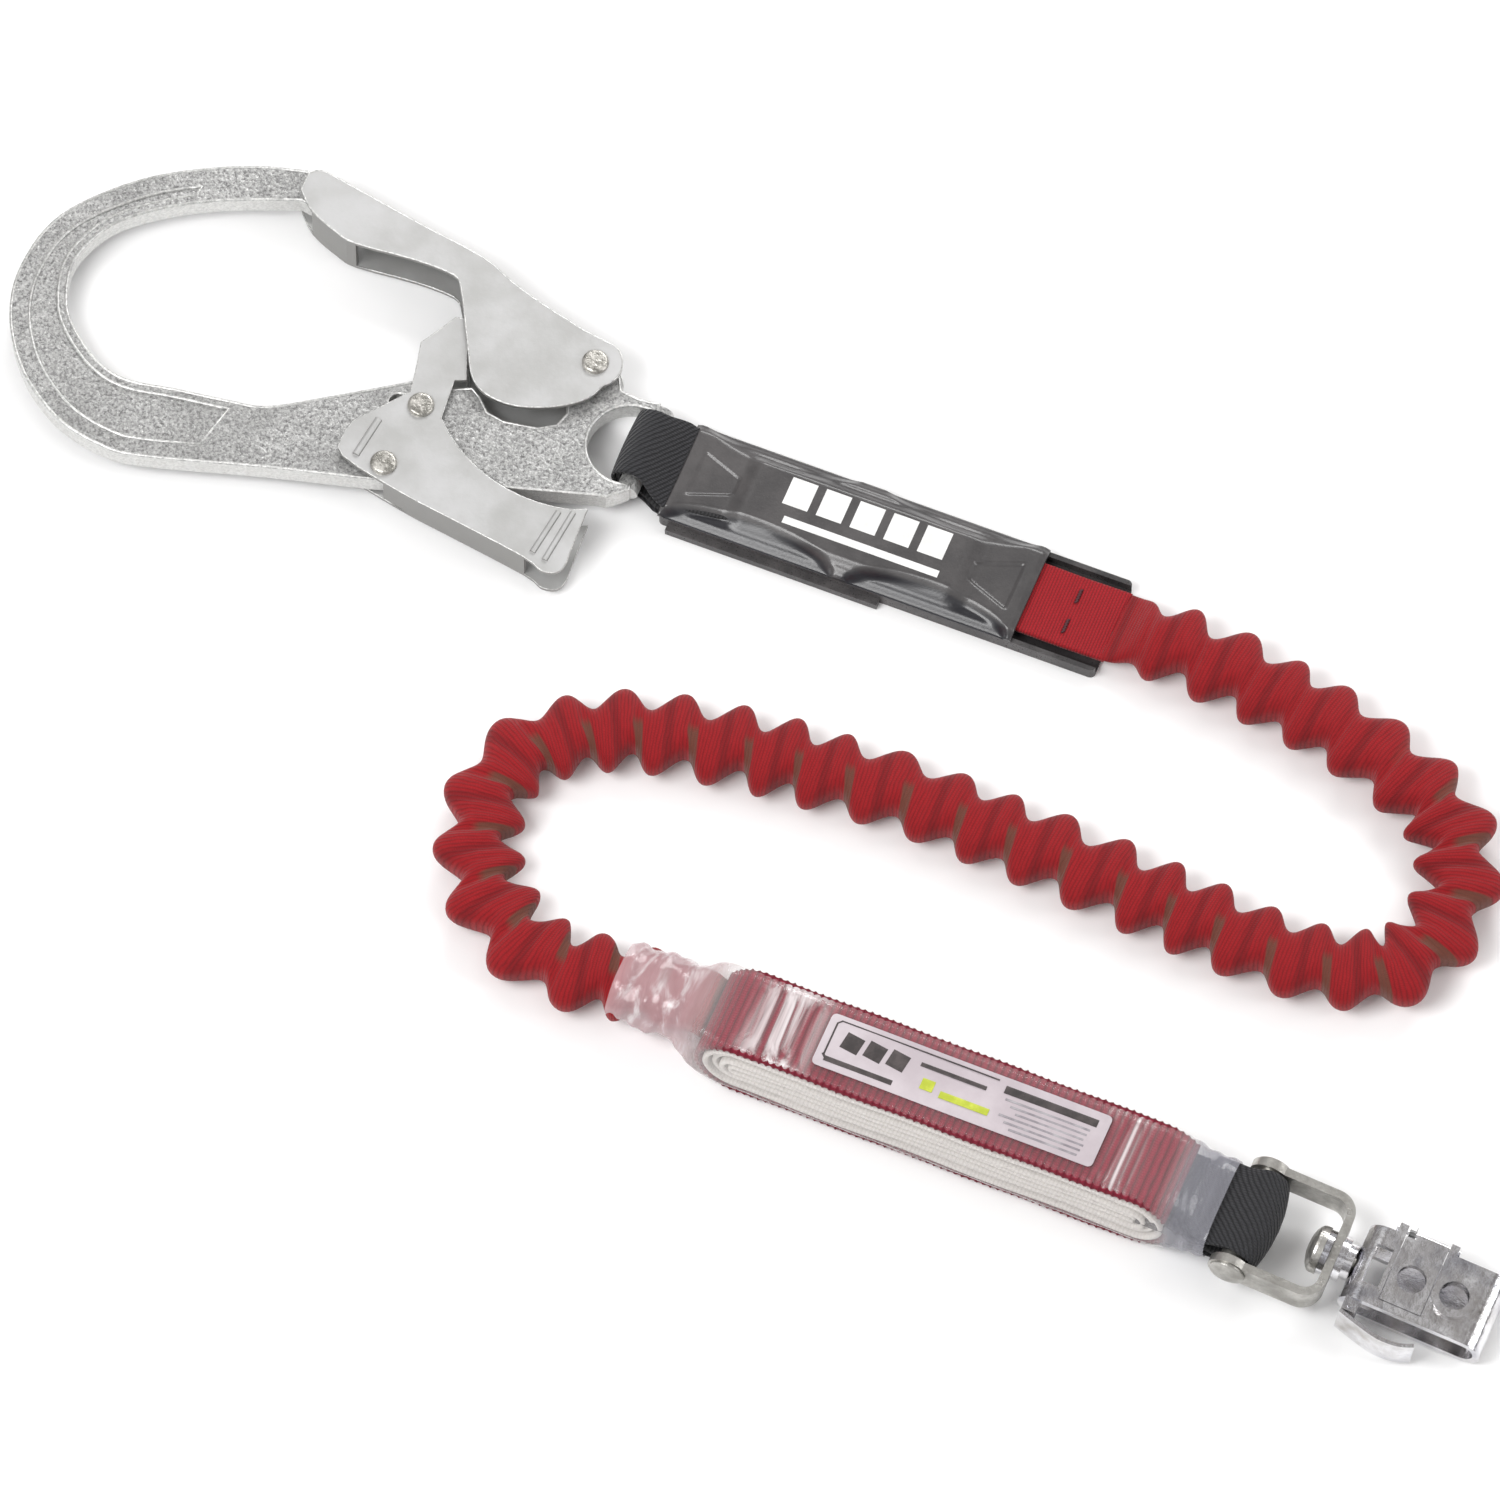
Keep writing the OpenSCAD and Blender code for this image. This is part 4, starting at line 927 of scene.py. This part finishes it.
def racetrack(left, right, radius, opening, step):
    """The side view of a strap folded round both ends of a pack, open at the right."""
    line = []
    end_angle = math.asin(min(1, opening / radius))
    for angle in np.arange(end_angle, math.pi / 2, step / radius):
        line.append((right - radius + radius * math.cos(angle),
            PACK_MID + radius * math.sin(angle)))
    for x in np.arange(right - radius, left + radius, -step):
        line.append((x, PACK_MID + radius))
    for angle in np.arange(math.pi / 2, 1.5 * math.pi, step / radius):
        line.append((left + radius + radius * math.cos(angle),
            PACK_MID + radius * math.sin(angle)))
    for x in np.arange(left + radius, right - radius, step):
        line.append((x, PACK_MID - radius))
    for angle in np.arange(-math.pi / 2, -end_angle, step / radius):
        line.append((right - radius + radius * math.cos(angle),
            PACK_MID + radius * math.sin(angle)))
    return np.array(line)


def ribbed(made, pitch, depth):
    """Raises real ribs across a band, by moving its vertices along their normals."""
    mesh = made.data
    uv = np.zeros(len(mesh.loops) * 2)
    mesh.uv_layers["cloth"].data.foreach_get("uv", uv)
    corner = np.zeros(len(mesh.loops), int)
    mesh.loops.foreach_get("vertex_index", corner)
    along = np.zeros(len(mesh.vertices))
    along[corner] = uv.reshape(-1, 2)[:, 0]
    place = np.zeros(len(mesh.vertices) * 3)
    mesh.vertices.foreach_get("co", place)
    normals = np.zeros(len(mesh.vertices) * 3)
    mesh.vertices.foreach_get("normal", normals)
    rise = depth * (np.abs(np.sin(np.pi * along / pitch)) ** 0.7 - 0.5)
    place = place.reshape(-1, 3) + normals.reshape(-1, 3) * rise[:, None]
    mesh.vertices.foreach_set("co", place.ravel())
    mesh.update()


outer_strap = band(
    "outer_strap", racetrack(RACE_LEFT, RACE_RIGHT, RACE_R, 7.5, 0.55), 1.9,
    lambda x: 16.2 + 0.15 * math.sin(x / 7), PACK_AT, PACK_HEADING,
)
CRIMSON_RIB = 0.0026
ribbed(outer_strap, CRIMSON_RIB, 0.0007)
crimson_finish, tree, shader = new_material("crimson_webbing", Roughness=0.7)
shader.inputs["Sheen Weight"].default_value = 0.1
shader.inputs["Specular IOR Level"].default_value = 0.3
along, across = cloth_uv(tree)
ribs = use_group(tree, cloth_ribs, Along=along, Across=across, Rib=0.0026, Thread=0.0010,
    Unevenness=0.25)
crimson = mix_color(tree, ribs.outputs["Shade"], (0.055, 0.001, 0.006, 1), (0.30, 0.008, 0.035, 1))
edge = step_up(tree, calc(tree, "ABSOLUTE", across), 0.0148, 0.0157)
crimson = mix_color(tree, calc(tree, "MULTIPLY", edge, 0.6), crimson, (0.12, 0.002, 0.012, 1))
tree.links.new(crimson, shader.inputs["Base Color"])
bump(tree, shader, ribs.outputs["Height"], 0.0006, 0.7)
outer_strap.data.materials.append(crimson_finish)
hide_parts("absorber_outer_webbing")
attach(outer_strap, "lanyard")

# ---- Tear webbing: the cream strap folded up inside, layer on layer ----
# Its stitches tear one by one in a fall. Only the layers' edges can be seen,
# nested inside the crimson strap.
cream_finish, tree, shader = new_material("cream_webbing", Roughness=0.85)
shader.inputs["Specular IOR Level"].default_value = 0.2
along, across = cloth_uv(tree)
ribs = use_group(tree, cloth_ribs, Along=along, Across=across, Rib=0.0014, Thread=0.0012)
stain = add(tree, "ShaderNodeTexNoise", {"Scale": 60.0, "Detail": 4.0}).outputs[0]
cream = mix_color(tree, ribs.outputs["Shade"], (0.54, 0.51, 0.48, 1), (0.74, 0.71, 0.68, 1))
cream = mix_color(tree, step_up(tree, stain, 0.60, 0.80), cream, (0.46, 0.41, 0.40, 1))
tree.links.new(cream, shader.inputs["Base Color"])
bump(tree, shader, ribs.outputs["Height"], 0.0003, 0.4)
LAYER = 3.1
tear_parts = []
for k in range(1, 5):
    radius = RACE_R - LAYER * k
    shy = 0.7 * math.sin(2.3 * k)
    tear_parts.append(band(
        f"tear_layer_{k}",
            racetrack(RACE_LEFT + LAYER * k, RACE_RIGHT - LAYER * k, radius, 0.8, 1.2), 1.9,
        lambda x, shy=shy: 15.6 + shy + 0.25 * math.sin(x / 9 + shy * 5), PACK_AT, PACK_HEADING,
    ))
for made in tear_parts:
    made.data.materials.append(cream_finish)
    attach(made, "lanyard")
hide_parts("tear_webbing")

# ---- Clear film: the shrunk sleeve that keeps the pack folded and clean ----
# Thin clear plastic, drawn in round the bellows at the left and pressed flat over
# the black loop at the right; it is milky where it wrinkles and where it is tight,
# and white streaks on its wrinkles and near both ends of its top are painted highlights.
film_stations = np.array([
    # x, half width, side shift, low, high, squareness
    (-38, 13.0, 3.0, 3.2, 22.5, 2.3), (-35, 14.2, 3.0, 2.2, 23.8, 2.3),
        (-30, 13.4, 3.0, 2.9, 23.4, 2.3),
    (-24, 14.6, 3.0, 2.2, 25.2, 2.4), (-17, 13.4, 2.9, 2.6, 24.8, 2.5),
        (-12, 14.0, 2.2, 2.2, 26.0, 2.6),
    (-8, 15.8, 1.2, 1.0, 29.0, 3.2), (-3, 17.1, 0.4, 0.3, 31.9, 4.6), (6, 17.3, 0, 0.2, 32.4, 6.0),
    (60, 17.2, 0, 0.2, 32.4, 6.5), (120, 17.2, 0, 0.2, 32.4, 6.5), (160, 17.3, 0, 0.2, 32.3, 6.0),
    (168, 17.4, 0, 0.6, 31.4, 4.8), (175, 17.2, 0, 3.2, 28.2, 3.6), (180, 17.9, 0, 6.4, 25.6, 3.2),
    (185.5, 18.0, 0, 7.6, 24.9, 3.2),
])
film_x = np.arange(-38, 185.6, 0.75)
film_shape = [np.interp(film_x, film_stations[:, 0], film_stations[:, k]) for k in range(1, 6)]
kernel = np.hanning(9) / np.hanning(9).sum()
film_shape = [np.convolve(np.pad(row, 4, mode="edge"), kernel, "valid") for row in film_shape]
FILM_SIDES = 84
film_turn = np.linspace(0, 2 * math.pi, FILM_SIDES, endpoint=False)
film_rows = []
for x, width, shift, low, high, square in zip(film_x, *film_shape):
    c, s = np.cos(film_turn), np.sin(film_turn)
    y = shift + width * np.sign(c) * np.abs(c) ** (2 / square)
    z = (low + high) / 2 + (high - low) / 2 * np.sign(s) * np.abs(s) ** (2 / square)
    neck = 1 - ramp_up(x, -14, 2)
    tail = ramp_up(x, 160, 172)
    crumple = 0.35 * np.sin(x * 1.1 + 2.1 * np.sin(2 * film_turn)) * (neck + tail)
    crumple += 0.25 * np.sin(x * 0.37 + 5 * film_turn) * (1.5 * neck + 0.35)
    film_rows.append(np.stack([np.full_like(y, x), y + c * crumple, z + s * np.abs(crumple) * 0.6],
        -1))
film_rows = np.array(film_rows)
film_rows[:, :, 2] = np.maximum(film_rows[:, :, 2], 0.05)
film_uv = np.zeros((len(film_x), FILM_SIDES + 1, 2))
film_uv[:, :, 0] = film_x[:, None] / 1000
film_uv[:, :, 1] = np.linspace(0, 1, FILM_SIDES + 1)[None, :]
film = skin("shrink_film", lay_out(film_rows, PACK_AT, PACK_HEADING), film_uv, wrap_columns=True)

film_finish, tree, shader = new_material("clear_film", Roughness=0.16)
shader.inputs["Coat Weight"].default_value = 0.6
shader.inputs["Coat Roughness"].default_value = 0.08
along, across = cloth_uv(tree)
streak_place = add(tree, "ShaderNodeCombineXYZ", {
    0: calc(tree, "MULTIPLY", along, 150.0), 1: calc(tree, "MULTIPLY", across, 5.0)})
streak = add(tree, "ShaderNodeTexNoise", {
    "Vector": streak_place.outputs[0], "Scale": 1.0, "Detail": 4.0, "Roughness": 0.6,
        "Distortion": 0.6}).outputs[0]


def between(tree, value, low, high, soft):
    """1 between two values, with soft sides."""
    return calc(tree, "MULTIPLY", step_up(tree, value, low - soft, low + soft),
                calc(tree, "SUBTRACT", 1.0, step_up(tree, value, high - soft, high + soft)))


# Painted highlights: white streaks on the top near both ends, and along the ribs at the right, stand for
# reflections off the wrinkled film
top_face = between(tree, across, 0.07, 0.40, 0.05)
left_highlight = calc(tree, "MULTIPLY", between(tree, along, 0.014, 0.034, 0.007), top_face)
right_highlight = calc(tree, "MULTIPLY", between(tree, along, 0.141, 0.153, 0.005), top_face)
rib_highlight_lines = calc(tree, "POWER", calc(tree, "ABSOLUTE", calc(
    tree, "SINE", calc(tree, "MULTIPLY", along, math.pi / 0.0026))), 3.0)
right_highlight = calc(tree, "MULTIPLY", right_highlight,
    calc(tree, "MULTIPLY_ADD", rib_highlight_lines, 0.85, 0.15))
painted_highlight = calc(tree, "MAXIMUM", left_highlight, right_highlight)
painted_highlight = calc(tree, "MULTIPLY", painted_highlight, step_up(tree, streak, 0.36, 0.62))
neck_haze = calc(tree, "SUBTRACT", 1.0, step_up(tree, along, -0.012, 0.006))
tail_haze = step_up(tree, along, 0.164, 0.174)
front_haze = between(tree, across, 0.455, 0.62, 0.022)
haze = calc(tree, "MULTIPLY_ADD", neck_haze, 0.30, 0.03)
haze = calc(tree, "MULTIPLY_ADD", tail_haze, 0.26, haze)
haze = calc(tree, "MULTIPLY_ADD", front_haze, 0.06, haze)
foot_haze = between(tree, across, 0.556, 0.70, 0.012)
haze = calc(tree, "MULTIPLY_ADD", foot_haze, 0.5, haze)
haze = calc(tree, "MULTIPLY_ADD", calc(tree, "MULTIPLY", streak, calc(
    tree, "ADD", neck_haze, calc(tree, "MULTIPLY_ADD", tail_haze, 0.8, 0.25))), 0.3, haze)
haze = calc(tree, "MULTIPLY_ADD", painted_highlight, 0.62, haze)
facing = add(tree, "ShaderNodeLayerWeight", {"Blend": 0.25}).outputs["Facing"]
haze = calc(tree, "MULTIPLY_ADD", facing, 0.24, haze, clamp=True)
tree.links.new(haze, shader.inputs["Alpha"])
tint = mix_color(tree, neck_haze, (0.86, 0.82, 0.81, 1), (0.60, 0.42, 0.44, 1))
tint = mix_color(tree, tail_haze, tint, (0.38, 0.38, 0.43, 1))
# The near-white colour is the painted highlight, on the streaks and on the neck's wrinkles
tint = mix_color(tree, calc(tree, "MAXIMUM", painted_highlight, calc(tree, "MULTIPLY", neck_haze, step_up(
    tree, streak, 0.5, 0.7))), tint, (0.93, 0.88, 0.89, 1))
tree.links.new(tint, shader.inputs["Base Color"])
bump(tree, shader, streak, 0.0012, 0.5)
film.data.materials.append(film_finish)
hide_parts("absorber_film")
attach(film, "lanyard")

# ---- Label: a silver foil sticker on top of the pack, printed with plain bars ----
# It follows the film. A thin border, dark bars, small gray rows and two small
# green bars stand for the print.
LABEL_X0, LABEL_L, LABEL_HALF_W, LABEL_Z = 38.0, 103.0, 10.3, 32.75
label_xs = np.concatenate([[0, 0.25, 0.7, 1.4], np.linspace(2.4, LABEL_L - 2.4, 60),
                           [LABEL_L - 1.4, LABEL_L - 0.7, LABEL_L - 0.25, LABEL_L]])
corner_in = np.minimum(label_xs, LABEL_L - label_xs)
round_off = 1.8 - np.sqrt(np.clip(1.8**2 - np.clip(1.8 - corner_in, 0, 1.8) ** 2, 0, None))
label_spread = np.linspace(-1, 1, 14)
gx, gs = np.meshgrid(label_xs, label_spread, indexing="ij")
gy = gs * (LABEL_HALF_W - round_off)[:, None]
bow = 0.12 * np.sin(gx / 11) - 0.1 * gs**2
label_top = np.stack([LABEL_X0 + gx, gy, LABEL_Z + 0.15 + bow], -1)
label_low = np.stack([LABEL_X0 + gx, gy, LABEL_Z - 0.1 + bow], -1)[:, ::-1]
label_section = np.concatenate([label_top, label_low], 1)
label_uv = np.zeros((len(label_xs), label_section.shape[1] + 1, 2))
label_uv[:, :-1] = label_section[:, :, :2] / 1000
label_uv[:, -1] = label_uv[:, 0]
label = skin("foil_label", lay_out(label_section, PACK_AT, PACK_HEADING), label_uv,
             wrap_columns=True, close_ends=True, smooth=False)
foil_finish, tree, shader = new_material("label_foil", Metallic=0.25, Roughness=0.38)
wear = use_group(tree, scuffs, Grain=500.0, Patch=26.0)
tree.links.new(
    mix_color(tree, wear.outputs["Wear"], (0.50, 0.44, 0.47, 1), (0.63, 0.57, 0.60, 1)),
    shader.inputs["Base Color"],
)
label.data.materials.append(foil_finish)
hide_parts("absorber_label")
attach(label, "lanyard")

INK_Z0, INK_Z1 = LABEL_Z + 0.1, LABEL_Z + 0.36
ink_dark = [(LABEL_X0 + 10.5 + 8.4 * k, 1.6, 6.6, 6.4, INK_Z0, INK_Z1, -8) for k in range(3)]
ink_dark += [
    (LABEL_X0 + 16, -6.9, 25, 1.9, INK_Z0, INK_Z1, 0),
    (LABEL_X0 + 3.1, -6.0, 1.9, 0.8, INK_Z0, INK_Z1, -45),
    (LABEL_X0 + 3.6, 7.7, 2.0, 0.5, INK_Z0, INK_Z1, 45),
    (LABEL_X0 + 82, 5.8, 34, 2.9, INK_Z0, INK_Z1, 0),
    (LABEL_X0 + 33, 8.3, 58, 0.45, INK_Z0, INK_Z1, 0),
    (LABEL_X0 + 2.9, 0.8, 0.6, 12.6, INK_Z0, INK_Z1, 0),
    (LABEL_X0 + 47, 3.6, 24, 1.5, INK_Z0, INK_Z1, 0),
]
ink_gray = [(LABEL_X0 + 82 + 1.1 * ((k * 7) % 3), 2.4 - 2.05 * k, 31 - 3 * (k % 3), 0.8, INK_Z0,
    INK_Z1, 0)
            for k in range(6)]
ink_green = [(LABEL_X0 + 40, -3.0, 4.6, 4.2, INK_Z0, INK_Z1, 0),
    (LABEL_X0 + 54, -4.6, 18, 2.6, INK_Z0, INK_Z1, 0)]
for name, bars, low, high in (
    ("label_dark_bars", ink_dark, (0.03, 0.024, 0.024, 1), (0.075, 0.06, 0.06, 1)),
    ("label_gray_rows", ink_gray, (0.22, 0.2, 0.22, 1), (0.4, 0.38, 0.4, 1)),
    ("label_green_bars", ink_green, (0.40, 0.46, 0.03, 1), (0.6, 0.66, 0.08, 1)),
):
    made = join_boxes(name, bars, PACK_AT, PACK_HEADING)
    ink, tree, shader = new_material(name, Roughness=0.5)
    wear = use_group(tree, scuffs, Grain=2200.0, Patch=150.0)
    tree.links.new(mix_color(tree, wear.outputs["Wear"], low, high), shader.inputs["Base Color"])
    made.data.materials.append(ink)
    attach(made, "lanyard")

# ---- Yoke and its pin: bent strip steel, tumbled to a dull shine ----
yoke_finish, tree, shader = new_material("dull_steel", Metallic=0.9, Roughness=0.38)
wear = use_group(tree, scuffs, Grain=800.0, Patch=75.0)
tree.links.new(
    mix_color(tree, wear.outputs["Wear"], (0.30, 0.29, 0.27, 1), (0.58, 0.57, 0.54, 1)),
    shader.inputs["Base Color"],
)
tree.links.new(calc(tree, "MULTIPLY_ADD", wear.outputs["Wear"], -0.16, 0.42),
    shader.inputs["Roughness"])
bump(tree, shader, wear.outputs["Fine"], 0.0004, 0.4)
for node in ("yoke", "yoke_pin", "swivel_stud"):
    finish_node(node, yoke_finish)

# ---- Swivel and connector: chrome-plated steel ----
# Bright chrome over a slightly rough casting, with soft dents, and brown and blue patches of painted
# reflection.
chrome_finish, tree, shader = new_material("worn_chrome_painted_reflections", Metallic=1.0, Roughness=0.14)
wear = use_group(tree, scuffs, Grain=420.0, Patch=110.0)
chrome = mix_color(tree, wear.outputs["Wear"], (0.64, 0.63, 0.64, 1), (0.90, 0.90, 0.92, 1))
# Painted reflection: brown and blue patches stand for the room mirrored in the chrome
reflection_patches = add(tree, "ShaderNodeTexNoise",
    {"Vector": add(tree, "ShaderNodeTexCoord").outputs["Object"],
                                           "Scale": 90.0, "Detail": 3.0}).outputs[0]
brown = calc(tree, "MULTIPLY", step_up(tree, reflection_patches, 0.50, 0.75), 0.45)
blue = calc(tree, "MULTIPLY", step_up(tree, calc(tree, "SUBTRACT", 1.0, reflection_patches), 0.50, 0.75),
    0.45)
chrome = mix_color(tree, brown, chrome, (0.24, 0.20, 0.14, 1))
chrome = mix_color(tree, blue, chrome, (0.20, 0.21, 0.28, 1))
tree.links.new(chrome, shader.inputs["Base Color"])
tree.links.new(calc(tree, "MULTIPLY_ADD", wear.outputs["Wear"], -0.08, 0.17),
    shader.inputs["Roughness"])
bump(tree, shader, calc(tree, "MULTIPLY_ADD", wear.outputs["Fine"], 0.3, wear.outputs["Wear"]),
    0.0004, 0.22)
for node in ("swivel_washer", "swivel_collar", "connector_frame", "connector_latch", "latch_pin",
             "thumb_lever", "thumb_lever_pin"):
    finish_node(node, chrome_finish)
